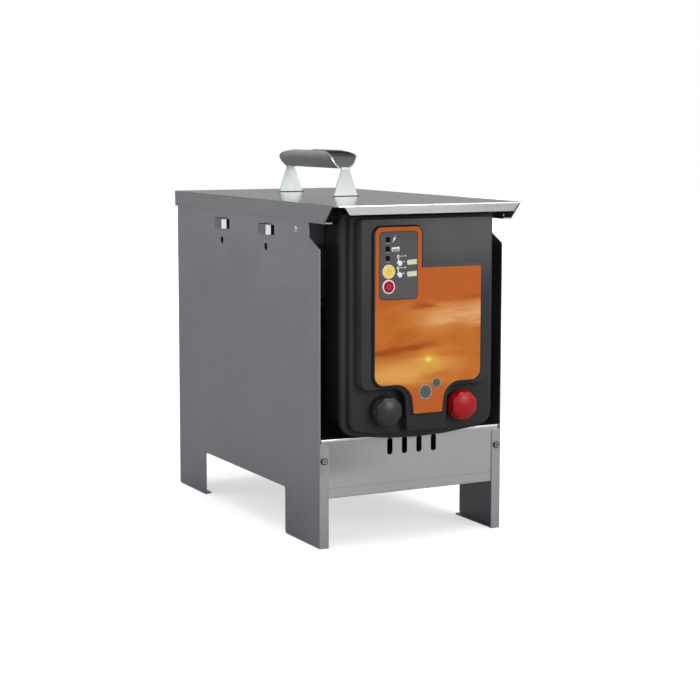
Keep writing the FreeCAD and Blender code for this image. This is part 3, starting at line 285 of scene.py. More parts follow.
def zinc_sheet(name, base, rough, mottle=0.10, spangle=0.05, cool=0.03, grain_axis=None, rise=0.0, bands=(), painted_shadow=None):
    """Zinc-coated sheet: cloudy tone, faint spangles, fine rolling grain. Optional painted light and shade: lighter
    towards the top, a painted shadow towards one side at the top, and flat bands of colour at given heights.
    """
    g = Mat(name, metal=1.0)
    cloud = g.noise(9.0, 4.0, 0.55)
    spots = g.cells(150.0)
    sep = g.t.nodes.new("ShaderNodeSeparateColor")
    g.t.links.new(spots, sep.inputs[0])
    fine = g.noise(420.0, 2.0, 0.6)
    tone = g.math("ADD", g.math("MULTIPLY", cloud, mottle), g.math("MULTIPLY", sep.outputs[0], spangle))
    tone = g.math("ADD", tone, g.math("MULTIPLY", fine, spangle * 0.5))
    lo = tint(base, 1.0 - mottle * 0.5 - spangle * 0.75)
    hi = tint(base, 1.0 + mottle * 0.5 + spangle * 0.75)
    col = g.ramp(g.remap(tone, 0.0, mottle + spangle * 1.5, 0, 1, False), [(0.0, (lo[0], lo[1], lo[2] * (1 + cool))), (1.0, hi)])
    if rise or bands or painted_shadow:
        px, py, pz = g.xyz()
    if rise or painted_shadow:
        # painted light and shade: lighter towards the top, darker towards the bottom
        k = g.remap(pz, 0.05, 0.37, 1.0 - rise, 1.0 + rise, False)
        # painted shadow: darker towards one side at the top, a touch lighter low down
        if painted_shadow:
            shade = g.math("SUBTRACT", 1.0, g.remap(px, painted_shadow[0], painted_shadow[1], painted_shadow[2], 1.0))
            shade = g.math("MULTIPLY", shade, g.remap(pz, 0.070, 0.098, -0.15, 1.0))
            k = g.math("MULTIPLY", k, g.math("SUBTRACT", 1.0, shade))
        both = g.t.nodes.new("ShaderNodeCombineColor")
        for i in range(3):
            g.t.links.new(k, both.inputs[i])
        col = g.mix(1.0, col, both.outputs[0], "MULTIPLY")
    for lo_z, hi_z, soft, to in bands:
        inside = g.math("MULTIPLY", g.remap(pz, lo_z - soft, lo_z), g.remap(pz, hi_z + soft, hi_z))
        col = g.mix(inside, col, to)
    g.set("base", col)
    grain_vec = g.mapped(grain_axis or (60, 60, 900))
    grain = g.noise(1.0, 3.0, 0.6, grain_vec)
    g.set("rough", g.remap(g.math("ADD", grain, g.math("MULTIPLY", cloud, 0.8)), 0.5, 1.3, rough * 0.86, rough * 1.16, False))
    g.set("normal", g.bump(g.math("ADD", grain, g.math("MULTIPLY", sep.outputs[1], 0.35)), 0.14, 0.00006))
    return g.m


def bright_metal(name, base, rough, grain=900.0):
    g = Mat(name, metal=1.0)
    c = g.noise(70.0, 3.0, 0.6)
    g.set("base", g.ramp(c, [(0.3, tint(base, 0.93)), (0.7, tint(base, 1.05))]))
    g.set("rough", g.remap(g.noise(grain, 2.0), 0.3, 0.7, rough * 0.8, rough * 1.25))
    g.set("normal", g.bump(g.noise(grain * 1.7, 2.0), 0.08, 0.00004))
    return g.m


def moulded(name, base, rough, grain=2600.0, strength=0.10, vary=0.12, coat=0.0, spec=0.5):
    """Moulded plastic or rubber: faint tone variation, fine spark-eroded texture."""
    g = Mat(name, spec=spec)
    if coat:
        g.set("coat", coat)
        g.set("coat_rough", 0.12)
    c = g.noise(24.0, 4.0, 0.55)
    g.set("base", g.ramp(c, [(0.25, tint(base, 1 - vary)), (0.75, tint(base, 1 + vary))]))
    g.set("rough", g.remap(g.noise(180.0, 3.0), 0.3, 0.7, rough * 0.9, rough * 1.12))
    g.set("normal", g.bump(g.noise(grain, 2.0, 0.7), strength, 0.00006))
    return g.m


M = {}
# side zinc lighter towards the top: painted light
M["side"] = zinc_sheet("galvanised_side", (0.440, 0.446, 0.472), 0.40, 0.17, 0.05, cool=0.05, rise=0.15)
# lighter than the sheet on every broken edge: partly bare cut steel, partly painted highlight
M["side_edge"] = bright_metal("cut_edge_and_highlight", (0.80, 0.81, 0.82), 0.30)
# apron: a painted shadow darkens its upper left; the first band is a painted highlight along the top edge, the second a
# thin darker line near the bottom
M["apron"] = zinc_sheet("galvanised_apron", (0.66, 0.67, 0.65), 0.33, 0.09, 0.03, grain_axis=(40, 60, 900),
                        bands=((0.1225, 0.1400, 0.0012, (0.93, 0.94, 0.93)), (0.0680, 0.0686, 0.0009, (0.59, 0.60, 0.58))), painted_shadow=(-0.125, -0.010, 0.66))
# lighter copy of the side zinc for faces turned forward, painted light, with a painted shadow at its upper left
M["leg_front"] = zinc_sheet("galvanised_leg_front_lit", (0.58, 0.585, 0.60), 0.34, 0.09, 0.03, grain_axis=(900, 60, 40), painted_shadow=(-0.121, -0.105, 0.84))
# the roof is one sheet whose top, flanges and bends take lighter and darker copies by facing: painted light and shade
M["roof"] = zinc_sheet("roof_sheet", (0.345, 0.35, 0.355), 0.16, 0.05, 0.015, grain_axis=(60, 900, 60))
M["roof_side"] = zinc_sheet("roof_flange_side", (0.50, 0.51, 0.52), 0.36, 0.07, 0.03, grain_axis=(900, 25, 900))
M["roof_front"] = zinc_sheet("roof_flange_front_lit", (0.72, 0.725, 0.72), 0.30, 0.05, 0.02, grain_axis=(25, 900, 900))
# bright copy on the rolled bends of roof and apron: painted highlight
M["bend"] = bright_metal("rolled_bend_highlight", (0.93, 0.935, 0.93), 0.24)
# darker copy on the roof's other bends: painted shade
M["roof_bend"] = bright_metal("roof_side_bend_shaded", (0.30, 0.305, 0.31), 0.34)
M["screw"] = bright_metal("screw_head", (0.24, 0.235, 0.23), 0.26)
# white hook slopes with a faint glow: painted highlight
M["hook"] = bright_metal("hook_slope_glow", (1.0, 1.0, 1.0), 0.60)
for shade, power in ((M["hook"], 0.22),):
    shader = next(n for n in shade.node_tree.nodes if n.type == "BSDF_PRINCIPLED")
    shader.inputs["Emission Color"].default_value = (1.0, 1.0, 1.0, 1.0)
    shader.inputs["Emission Strength"].default_value = power
# darker copy of the side zinc for the rest of each hook: painted shade
M["hook_face_shaded"] = bright_metal("hook_face_shaded", (0.385, 0.39, 0.41), 0.34)
M["rivet"] = bright_metal("rivet_head", (0.92, 0.92, 0.93), 0.16)
# near black so the bar reads as the shade in the side gap: painted shade
M["strap"] = bright_metal("strap_painted_shade", (0.10, 0.10, 0.105), 0.50)
# dark copy of the apron zinc for its top ledge: painted shade
M["ledge"] = zinc_sheet("apron_ledge", (0.30, 0.31, 0.30), 0.30, 0.07, 0.03)
M["inner_dark"] = zinc_sheet("galvanised_inside", (0.50, 0.51, 0.53), 0.42, 0.10, 0.05)
M["inner"] = zinc_sheet("galvanised_inner", (0.50, 0.51, 0.52), 0.42, 0.10, 0.05)
M["handle"] = bright_metal("handle_plate", (0.56, 0.60, 0.59), 0.34)
M["handle_grip"] = bright_metal("handle_grip", (0.50, 0.50, 0.505), 0.40)
# darker copy of the grip metal for its inside: painted shade
M["handle_inside"] = bright_metal("handle_grip_inside_shaded", (0.26, 0.256, 0.256), 0.42)
M["zinc"] = bright_metal("zinc_plated", (0.62, 0.62, 0.60), 0.27)
M["brass"] = bright_metal("brass_turned", (0.66, 0.48, 0.20), 0.26)
M["lead"] = bright_metal("cast_lead", (0.30, 0.30, 0.31), 0.52)
M["laminations"] = bright_metal("core_laminations", (0.13, 0.12, 0.12), 0.5)


def casing():
    """Dark moulding with painted light and shade: greyer towards the top right as a painted sheen, near black towards
    the bottom and the left edge as painted shade, and parts set further back lifted a little as painted fill light.
    """
    g = Mat("casing_plastic", spec=0.22)
    c = g.noise(16.0, 4.0, 0.5)
    x, y, z = g.xyz()
    # painted sheen: greyer towards the top right
    up = g.remap(z, 0.28, 0.372, 0.0, 1.0)
    across = g.remap(x, -0.085, 0.03, 0.0, 1.0)
    # parts set further back take a flat grey a little above the face's darkest: painted fill light
    fore = g.remap(y, Y(-13) , Y(-31), 0.0, 1.0)
    low = g.ramp(c, [(0.3, (0.046, 0.048, 0.051)), (0.7, (0.054, 0.056, 0.060))])
    mid = g.ramp(c, [(0.3, (0.038, 0.039, 0.041)), (0.7, (0.046, 0.047, 0.049))])
    high = g.ramp(c, [(0.3, (0.130, 0.132, 0.135)), (0.7, (0.145, 0.147, 0.150))])
    col = g.mix(g.math("MULTIPLY", up, g.math("ADD", g.math("MULTIPLY", across, 0.7), 0.3)), mid, high)
    col = g.mix(g.math("MULTIPLY", fore, g.math("ADD", g.math("MULTIPLY", across, 0.25), 0.75)), low, col)
    # painted shade: darker towards the bottom
    down = g.remap(z, 0.125, 0.235, 0.62, 1.0)
    both = g.t.nodes.new("ShaderNodeCombineColor")
    for i in range(3):
        g.t.links.new(down, both.inputs[i])
    col = g.mix(1.0, col, both.outputs[0], "MULTIPLY")
    g.set("base", col)
    g.set("rough", g.remap(g.noise(220.0, 3.0), 0.3, 0.7, 0.36, 0.44))
    g.set("normal", g.bump(g.noise(2400.0, 2.0, 0.7), 0.10, 0.00006))
    return g.m


M["casing"] = casing()
# near-black copy of the casing for the step round the label: painted shade
M["casing_groove"] = moulded("casing_step_shaded", (0.014, 0.0135, 0.014), 0.5, 1800.0, 0.08, spec=0.2)
M["rubber"] = moulded("rubber_black", (0.018, 0.018, 0.019), 0.68, 1500.0, 0.2, spec=0.25)
M["black"] = moulded("knob_black", (0.024, 0.025, 0.028), 0.38, 900.0, 0.02, 0.12, spec=0.6)
M["red"] = moulded("knob_red", (0.46, 0.003, 0.009), 0.36, 900.0, 0.02, 0.08, spec=0.42)
M["battery"] = moulded("battery_case", (0.030, 0.031, 0.034), 0.42, 1500.0, 0.12)
M["battery_top"] = moulded("battery_cover", (0.055, 0.057, 0.062), 0.46, 1500.0, 0.12)
M["sheath_red"] = moulded("lead_sheath_red", (0.36, 0.018, 0.018), 0.42, 1200.0, 0.08)
M["sheath_black"] = moulded("lead_sheath_black", (0.016, 0.016, 0.017), 0.42, 1200.0, 0.08)
M["sleeve"] = moulded("capacitor_sleeve", (0.02, 0.035, 0.11), 0.26, 900.0, 0.03)
M["tape"] = moulded("winding_tape", (0.55, 0.40, 0.10), 0.40, 900.0, 0.05)
M["board"] = moulded("board_laminate", (0.02, 0.14, 0.06), 0.34, 900.0, 0.05)
M["switch"] = moulded("switch_plastic", (0.02, 0.02, 0.02), 0.4, 900.0, 0.05)
M["window"] = moulded("smoked_window", (0.003, 0.003, 0.0035), 0.12, 900.0, 0.01, spec=0.25)
M["led"] = moulded("led_resin", (0.35, 0.03, 0.02), 0.2, 900.0, 0.02)
M["border"] = moulded("panel_shadow_line", (0.02, 0.02, 0.021), 0.5, 1800.0, 0.05)


def film(name, base, rough=0.42):
    g = Mat(name, spec=0.25)
    c = g.noise(30.0, 3.0, 0.5)
    g.set("base", g.ramp(c, [(0.3, tint(base, 0.96)), (0.7, tint(base, 1.04))]))
    g.set("rough", g.remap(g.noise(600.0, 2.0), 0.3, 0.7, rough * 0.92, rough * 1.08))
    g.set("normal", g.bump(g.noise(1500.0, 2.0), 0.05, 0.00004))
    return g.m


def overlay():
    """The grey key panel: even grey with a thin dark outline."""
    g = Mat("overlay_grey", spec=0.25)
    x, y, z = g.xyz()
    ex = g.math("SUBTRACT", g.math("ABSOLUTE", g.math("SUBTRACT", x, -0.03885)), 0.02445 - 0.005)
    ez = g.math("SUBTRACT", g.math("ABSOLUTE", g.math("SUBTRACT", z, 0.32155)), 0.03815 - 0.005)
    ex, ez = g.math("MAXIMUM", ex, 0.0), g.math("MAXIMUM", ez, 0.0)
    out = g.math("SUBTRACT", g.math("SQRT", g.math("ADD", g.math("MULTIPLY", ex, ex), g.math("MULTIPLY", ez, ez))), 0.005)
    c = g.noise(30.0, 3.0, 0.5)
    grey = g.ramp(c, [(0.3, (0.104, 0.098, 0.103)), (0.7, (0.114, 0.108, 0.113))])
    g.set("base", g.mix(g.remap(out, -0.0013, -0.0004), grey, (0.055, 0.040, 0.036)))
    g.set("rough", g.remap(g.noise(600.0, 2.0), 0.3, 0.7, 0.39, 0.45))
    g.set("normal", g.bump(g.noise(1500.0, 2.0), 0.05, 0.00004))
    return g.m


M["overlay"] = overlay()
M["ink_white"] = film("ink_white", (0.98, 0.98, 0.98))
M["ink_green"] = film("ink_green", (0.74, 0.84, 0.56))
# grey ink, also used for the painted reflections under the LED windows
M["ink_grey_and_highlight"] = film("ink_grey_and_highlight", (0.42, 0.41, 0.41))
M["badge"] = film("badge_grey", (0.085, 0.087, 0.09))
M["badge_rim"] = film("badge_rim", (0.34, 0.33, 0.32))
M["key_yellow"] = film("key_yellow", (0.78, 0.47, 0.085), 0.32)
M["key_yellow_pale"] = film("key_yellow_pale", (0.90, 0.76, 0.34), 0.32)
M["key_red"] = film("key_red", (0.44, 0.010, 0.040), 0.30)
M["key_red_mark"] = film("key_red_mark", (0.66, 0.09, 0.13), 0.30)
M["key_white"] = film("key_white", (0.86, 0.74, 0.77), 0.32)


def label_art():
    """Printed film: a hazy orange dusk with long slanting streaks and a low glow. No lettering."""
    g = Mat("orange_label", spec=0.12)
    x, y, z = g.xyz()
    X = g.math("MULTIPLY", x, 1000.0)
    Z = g.math("MULTIPLY", z, 1000.0)
    # streaks rise to the right by about eight degrees
    slope = g.mapped((7.0, 1.0, 62.0), (0, math.radians(8.0), 0))
    streak = g.noise(1.0, 5.0, 0.6, slope, 0.5)
    wide = g.mapped((11.0, 1.0, 20.0), (0, math.radians(10.0), 0), (0.31, 0, 0.12))
    haze = g.noise(1.0, 4.0, 0.5, wide, 0.4)
    deep, mid, light, peach = (0.43, 0.085, 0.014), (0.58, 0.135, 0.016), (0.74, 0.260, 0.050), (0.88, 0.42, 0.10)
    # plain area above, at the left band and in the tongue
    top = g.remap(g.math("ADD", Z, g.math("MULTIPLY", X, -0.07)), 272.0, 286.0)
    low = g.remap(Z, 192.0, 176.0)
    plain = g.math("MAXIMUM", top, low, True)
    # two dark bands and two light fields
    warp = g.math("MULTIPLY", g.math("SUBTRACT", streak, 0.5), 26.0)
    band_z = g.math("ADD", g.math("ADD", Z, g.math("MULTIPLY", X, -0.10)), warp)

    def around(v, c, half):
        return g.remap(g.math("ABSOLUTE", g.math("SUBTRACT", v, c)), half, half * 0.15)

    dark1 = g.math("MULTIPLY", around(band_z, 278.0, 7.0), g.remap(X, -42.0, -5.0))
    dark2 = g.math("MULTIPLY", around(band_z, 231.0, 8.0), g.remap(X, 22.0, -12.0))
    dark = g.math("MAXIMUM", dark1, dark2)
    light1 = g.math("MULTIPLY", around(band_z, 258.0, 17.0), g.remap(X, -26.0, 22.0))
    light2 = g.math("MULTIPLY", around(band_z, 205.0, 24.0), g.remap(X, 70.0, 0.0))
    col = g.mix(g.remap(haze, 0.30, 0.72), mid, light)
    col = g.mix(g.math("MULTIPLY", light1, g.remap(streak, 0.22, 0.58), True), col, (0.92, 0.46, 0.19))
    col = g.mix(g.math("MULTIPLY", light2, g.remap(streak, 0.25, 0.62), True), col, peach)
    col = g.mix(g.math("MULTIPLY", dark, g.remap(streak, 0.34, 0.52), True), col, deep)
    col = g.mix(g.math("MULTIPLY", plain, 0.93), col, (0.590, 0.132, 0.026))
    # the low glow with its thin horizontal line
    dx = g.math("SUBTRACT", X, 0.3)
    dz = g.math("SUBTRACT", Z, 214.2)
    r2 = g.math("SQRT", g.math("ADD", g.math("MULTIPLY", dx, dx), g.math("MULTIPLY", g.math("MULTIPLY", dz, dz), 1.6)))
    glow = g.math("POWER", g.remap(r2, 25.0, 0.0, 0, 1, False), 2.0)
    core = g.remap(r2, 5.6, 0.8)
    flare = g.math("MULTIPLY", g.remap(g.math("ABSOLUTE", g.math("ADD", dz, g.math("MULTIPLY", dx, -0.012))), 1.25, 0.1),
                   g.remap(g.math("ABSOLUTE", dx), 33.0, 4.0, 0, 1, False))
    col = g.mix(g.math("MULTIPLY", glow, 0.90), col, (0.95, 0.56, 0.06))
    col = g.mix(g.math("MULTIPLY", flare, 0.55), col, (0.92, 0.62, 0.20))
    col = g.mix(core, col, (1.0, 0.92, 0.22))
    g.set("base", col)
    g.set("rough", g.remap(g.noise(700.0, 2.0), 0.3, 0.7, 0.36, 0.42))
    g.set("normal", g.bump(g.noise(1500.0, 2.0), 0.04, 0.00004))
    return g.m


M["label"] = label_art()

g = Mat("floor_paper", rough=0.9, spec=0.0)
seen = g.t.nodes.new("ShaderNodeLightPath").outputs["Is Camera Ray"]
g.set("base", g.mix(seen, (0.34, 0.34, 0.34), (0.62, 0.62, 0.62)))
g.set("emit", (1.0, 1.0, 1.0))
fx, fy, fz = g.xyz()
reach = g.math("SQRT", g.math("ADD", g.math("MULTIPLY", fx, fx), g.math("MULTIPLY", fy, fy)))
g.set("emit_power", g.math("MULTIPLY", seen, g.remap(reach, 0.5, 2.6, 0.60, 1.05)))
M["floor"] = g.m
floor.data.materials.append(M["floor"])


# ------------------------------------------------------------------ mesh helpers

def finish_mesh(bm, name, body, mats, sharp=35.0, weighted=True):
    for f in bm.faces:
        f.smooth = True
    lim = math.radians(sharp)
    for ed in bm.edges:
        ed.smooth = not (len(ed.link_faces) == 2 and ed.calc_face_angle(0.0) > lim)
    bm.normal_update()
    me = bpy.data.meshes.new(name)
    bm.to_mesh(me)
    bm.free()
    for m in mats:
        me.materials.append(m)
    o = bpy.data.objects.new(name, me)
    scene.collection.objects.link(o)
    if weighted:
        w = o.modifiers.new("weighted", "WEIGHTED_NORMAL")
        w.keep_sharp = True
        w.weight = 80
    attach(o, body)
    return o


def cad_copy(node):
    bm = bmesh.new()
    bm.from_mesh(N[node].data)
    bmesh.ops.remove_doubles(bm, verts=bm.verts, dist=2e-6)
    bmesh.ops.dissolve_limit(bm, angle_limit=math.radians(0.4), verts=bm.verts, edges=bm.edges, delimit=set())
    return bm


def refined(node, body, mats, bends=(), edge=0.25, seg=2, edge_mat=0, min_angle=32.0, sharp=35.0, name=None, pick=None, assign=None):
    """The CAD shape again, with its bends rolled and its cut edges broken. Sizes in mm."""
    bm = cad_copy(node)
    done = []
    for pred, r, n in bends:
        es = []
        for ed in bm.edges:
            if len(ed.link_faces) == 2 and ed.calc_face_angle(0.0) > math.radians(40) and pred(ed.verts[0].co / MM, ed.verts[1].co / MM):
                es.append(ed)
        if es:
            bmesh.ops.bevel(bm, geom=es, offset=r * MM, offset_type="OFFSET", segments=n, profile=0.5, affect="EDGES", clamp_overlap=True, material=-1)
    if edge:
        es = [ed for ed in bm.edges if len(ed.link_faces) == 2 and ed.calc_face_angle(0.0) > math.radians(min_angle) and (pick is None or pick(ed))]
        bmesh.ops.bevel(bm, geom=es, offset=edge * MM, offset_type="OFFSET", segments=seg, profile=0.5, affect="EDGES", clamp_overlap=True, material=edge_mat if edge_mat else -1)
    bmesh.ops.recalc_face_normals(bm, faces=bm.faces)
    bm.normal_update()
    if assign:
        for f in bm.faces:
            if f.material_index == 0:
                f.material_index = assign(f.calc_center_median() / MM, f.normal)
    o = finish_mesh(bm, name or node + "_visual", body, mats, sharp)
    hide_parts(node)
    return o


def paint(node, mat):
    o = N[node]
    o.data.materials.clear()
    o.data.materials.append(mat)
    return o


# ------------------------------------------------------------------ sheet metal

Y0 = -189.2


def side_faces(c, n):
    """Side panels: 0 outer face, 2 what faces forward, 3 hook slopes, 4 what faces inward. Forward faces take a lighter
    copy of the zinc as painted light, the hook slopes a glowing white as painted highlight and the rest of each hook a
    darker copy as painted shade.
    """
    if n.y < -0.85 and c.y < Y0 + 3:
        return 2
    if abs(c.x) > 120.2 and 347 < c.z < 362 and abs(n.z) < 0.3:
        return 3 if n.y < -0.25 and n.x * c.x > 0 else 5
    if n.x * c.x < -0.5 * abs(c.x):
        return 4
    return 0


def roof_faces(c, n):
    """Roof: 0 top, 2 outer side flanges, 3 front flange, 4 bends, 5 everything below. Flanges and bends take lighter or
    darker copies of the one sheet by facing: painted light and shade, with a painted highlight on the front bend.
    """
    if c.z > 388.2 and 0.12 < abs(n.z) < 0.97 and n.z > 0:
        return 4 if n.y < -0.1 and c.y < -233.5 else 6
    if n.z > 0.9 and c.z > 389:
        return 0
    if n.y < -0.85 and c.y < -234.0:
        return 3
    if abs(n.x) > 0.85 and abs(c.x) > 121.5 and n.x * c.x > 0:
        return 2
    return 5


def handle_faces(c, n):
    """Handle: 0 feet, 2 outside of the grip, 3 inside of the grip. The inside of the grip takes a darker copy: painted
    shade.
    """
    if c.z < 424.2 or abs(n.y) > 0.8:
        return 0
    inward = n.x * c.x < 0 or (abs(c.x) < 9 and n.z > 0)
    return 3 if inward and c.z < 444.6 else 2


def apron_faces(c, n):
    """Apron: 0 front, 2 the rolled top and bottom edges, 3 everything behind. The rolled edges take a bright copy as a
    painted highlight and the top ledge a dark copy as painted shade.
    """
    if c.y < Y0 + 3.2 and 0.15 < abs(n.z) < 0.98 and n.y < 0:
        return 2
    if n.z > 0.9 and c.z > 124:
        return 4
    if n.y < -0.8 and c.y < Y0 + 2.5:
        return 0
    return 3


def cover_faces(c, n):
    """Energizer front: 2 the step round the label, 0 the rest. The step takes a near-black copy of the casing: painted
    shade.
    """
    if Y0 - 35.2 < c.y < Y0 - 32.0 and abs(n.y) < 0.93 and abs(c.x) < 76 and c.z > 150:
        if (n.x < -0.2 and c.x < -60) or (n.z > 0.2 and c.z > 330) or (n.x > 0.2 and c.z > 326):
            return 2
    return 0


for side_name in ("left_side_panel", "right_side_panel"):
    refined(side_name, "case", [M["side"], M["side_edge"], M["leg_front"], M["hook"], M["inner_dark"], M["hook_face_shaded"]], edge=0.28, edge_mat=1, assign=side_faces)
refined("front_apron", "case", [M["apron"], M["side_edge"], M["bend"], M["inner_dark"], M["ledge"]], edge=0.25, edge_mat=1, assign=apron_faces)
refined("rear_panel", "case", [M["side"], M["side_edge"]], edge=0.25, edge_mat=1)
refined("roof_lid", "lid", [M["roof"], M["side_edge"], M["roof_side"], M["roof_front"], M["bend"], M["inner_dark"], M["roof_bend"]], edge=0.28, edge_mat=1, assign=roof_faces)
refined("carry_handle", "lid", [M["handle"], M["side_edge"], M["handle_grip"], M["handle_inside"]], edge=0.4, edge_mat=1, assign=handle_faces)
refined("top_crossbar", "case", [M["inner"], M["side_edge"]], edge=0.2, edge_mat=1)
refined("floor_tray", "case", [M["inner"], M["side_edge"]], edge=0.2, edge_mat=1)
refined("front_cover", "case", [M["casing"], M["casing"], M["casing_groove"]], edge=0.5, seg=3, min_angle=30.0, assign=cover_faces)
refined("rear_housing", "case", [M["casing"]], edge=0.5, seg=2, min_angle=40.0)
refined("face_label", "case", [M["label"]], edge=0.12, seg=2, min_angle=50.0)
refined("control_panel", "case", [M["overlay"]], edge=0.10, seg=2, min_angle=50.0)

for node in ("hinge_leaf_case", "hinge_leaf_lid"):
    paint(node, M["zinc"])
paint("crossbar_rivets", M["rivet"])
for node in ("hinge_pin", "case_hinge_rivets", "lid_hinge_rivets", "cover_screws", "crossbar_bolts", "board_screws",
             "hold_down_rods", "hold_down_nuts", "capacitor_clamp"):
    paint(node, M["zinc"])
paint("hold_down_bar", M["strap"])
for node in ("terminal_studs", "terminal_washers", "stud_nuts", "black_knob_insert", "red_knob_insert", "battery_clamps"):
    paint(node, M["brass"])
paint("battery_posts", M["lead"])
paint("transformer_core", M["laminations"])
paint("transformer_winding", M["tape"])
paint("storage_capacitor", M["sleeve"])
paint("circuit_board", M["board"])
paint("key_switches", M["switch"])
paint("status_leds", M["led"])
paint("led_windows", M["window"])
for node in ("cover_gasket", "support_pads", "lead_grommets"):
    paint(node, M["rubber"])
paint("battery_case", M["battery"])
paint("battery_cover", M["battery_top"])
paint("battery_vent_plugs", M["battery_top"])
paint("red_lead", M["sheath_red"])
paint("black_lead", M["sheath_black"])


# ------------------------------------------------------------------ knobs

def lathe_knob(name, node, body, mat, cx):
    """A round skirt, a scalloped grip and a faceted dome. Depths and radii in mm from the knob's back."""
    rings = [(0.0, 5.1, 0, 0), (0.0, 16.6, 0, 0), (0.3, 17.2, 0, 0), (0.9, 17.5, 0, 0), (6.6, 17.5, 0, 0), (7.2, 17.3, 0.05, 0.2), (8.2, 17.1, 0.1, 0.7),
             (9.8, 17.0, 0.12, 1.1), (11.8, 16.8, 0.12, 1.2), (13.0, 16.4, 0.12, 1.0), (13.9, 15.7, 0.10, 0.6), (15.1, 14.0, 0.08, 0.2), (16.4, 11.2, 0.04, 0.03),
             (17.5, 7.8, 0, 0), (18.1, 4.6, 0, 0), (18.36, 1.6, 0, 0)]
    seg = 128
    bm = bmesh.new()
    loops = []
    for dep, rad, k, a in rings:
        loop = []
        for i in range(seg):
            th = 2 * math.pi * i / seg
            ph = (th + math.pi / 8) % (math.pi / 4) - math.pi / 8
            flat = math.cos(math.pi / 8) / math.cos(ph)
            r = rad * ((1 - k) + k * flat) - a * (0.5 + 0.5 * math.cos(8 * th))
            loop.append(bm.verts.new(((cx + r * math.cos(th)) * MM, Y(-21.6 - dep), (157.6 + r * math.sin(th)) * MM)))
        loops.append(loop)
    for p, n in zip(loops, loops[1:]):
        for i in range(seg):
            j = (i + 1) % seg
            bm.faces.new((p[i], p[j], n[j], n[i]))
    tip = bm.verts.new((cx * MM, Y(-21.6 - 18.4), 157.6 * MM))
    for i in range(seg):
        bm.faces.new((loops[-1][i], loops[-1][(i + 1) % seg], tip))
    bmesh.ops.recalc_face_normals(bm, faces=bm.faces)
    o = finish_mesh(bm, name, body, [mat], sharp=55.0)
    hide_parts(node)
    return o


lathe_knob("black_knob_visual", "black_knob", "black_terminal", M["black"], -49.0)
lathe_knob("red_knob_visual", "red_knob", "red_terminal", M["red"], 49.0)


# ------------------------------------------------------------------ keys, badges, printed symbols, and painted shade and highlights

def radial(name, centres, stops, rough=0.32, mottle=None, metal=0.0):
    """Concentric colours round one or more centres (x, z, radius in mm); stops run from 0 at a centre to 1 at its radius."""
    g = Mat(name, spec=0.3, metal=metal)
    x, y, z = g.xyz()
    best = None
    for cx, cz, rad in centres:
        dx = g.math("SUBTRACT", x, cx * MM)
        dz = g.math("SUBTRACT", z, cz * MM)
        r = g.math("SQRT", g.math("ADD", g.math("MULTIPLY", dx, dx), g.math("MULTIPLY", dz, dz)))
        r = g.math("DIVIDE", r, rad * MM)
        best = r if best is None else g.math("MINIMUM", best, r)
    col = g.ramp(best, stops)
    if mottle:
        spots = g.remap(g.cells(900.0, out="Distance"), 0.15, 0.6)
        col = g.mix(g.math("MULTIPLY", spots, g.remap(best, 0.66, 0.45)), col, mottle)
    g.set("base", col)
    g.set("rough", g.remap(g.noise(600.0, 2.0), 0.3, 0.7, rough * 0.92, rough * 1.08))
    return g.m


# screw heads: dark centre and rim with a bright ring between: painted shade and painted highlight
paint("apron_screws", radial("screw_shade_and_highlight_rings", [(-113.90, 100.7, 4.2), (113.90, 100.7, 4.2)], [
    (0.0, (0.05, 0.05, 0.05)), (0.20, (0.06, 0.06, 0.06)), (0.34, (0.62, 0.62, 0.61)), (0.62, (0.50, 0.50, 0.49)), (0.80, (0.14, 0.14, 0.14)),
    (1.0, (0.05, 0.05, 0.05))], 0.26, metal=1.0))
paint("yellow_key", radial("key_yellow_rings", [(-51.7, 315.0, 8.0)], [
    (0.0, (0.84, 0.42, 0.02)), (0.46, (0.90, 0.50, 0.035)), (0.55, (1.0, 0.86, 0.20)), (0.68, (1.0, 0.93, 0.34)), (0.77, (0.80, 0.50, 0.06)),
    (0.84, (1.0, 0.84, 0.42)), (1.0, (1.0, 0.90, 0.60))], mottle=(1.0, 0.74, 0.12)))
paint("red_key", radial("key_red_rings", [(-51.7, 298.2, 8.0)], [
    (0.0, (0.30, 0.002, 0.012)), (0.14, (0.30, 0.002, 0.012)), (0.21, (0.74, 0.07, 0.11)), (0.31, (0.70, 0.05, 0.09)), (0.40, (0.36, 0.002, 0.016)),
    (0.77, (0.39, 0.002, 0.018)), (0.83, (0.98, 0.76, 0.82)), (1.0, (1.0, 0.84, 0.88))]))
paint("label_badges", radial("badge_rings", [(-3.6, 177.2, 8.4), (10.6, 186.6, 5.7)], [
    (0.0, (0.105, 0.108, 0.112)), (0.58, (0.105, 0.108, 0.112)), (0.64, (0.20, 0.20, 0.205)), (0.70, (0.105, 0.108, 0.112)), (0.86, (0.10, 0.102, 0.106)),
    (0.91, (0.42, 0.40, 0.38)), (1.0, (0.42, 0.40, 0.38))], 0.4))


def prism(name, loops, front, thick, mat, body):
    """Flat pieces standing on a front-facing plane: loops of (x, z) in mm."""
    bm = bmesh.new()
    for pts in loops:
        a = [bm.verts.new((px * MM, Y(front), pz * MM)) for px, pz in pts]
        b = [bm.verts.new((px * MM, Y(front - thick), pz * MM)) for px, pz in pts]
        bm.faces.new(a)
        bm.faces.new(b)
        for i in range(len(pts)):
            j = (i + 1) % len(pts)
            bm.faces.new((a[i], a[j], b[j], b[i]))
    bmesh.ops.recalc_face_normals(bm, faces=bm.faces)
    o = finish_mesh(bm, name, body, [mat], sharp=30.0, weighted=False)
    return o


def disc(cx, cz, r, n=20):
    return [(cx + r * math.cos(2 * math.pi * i / n), cz + r * math.sin(2 * math.pi * i / n)) for i in range(n)]


def bar(x0, z0, x1, z1):
    return [(x0, z0), (x1, z0), (x1, z1), (x0, z1)]


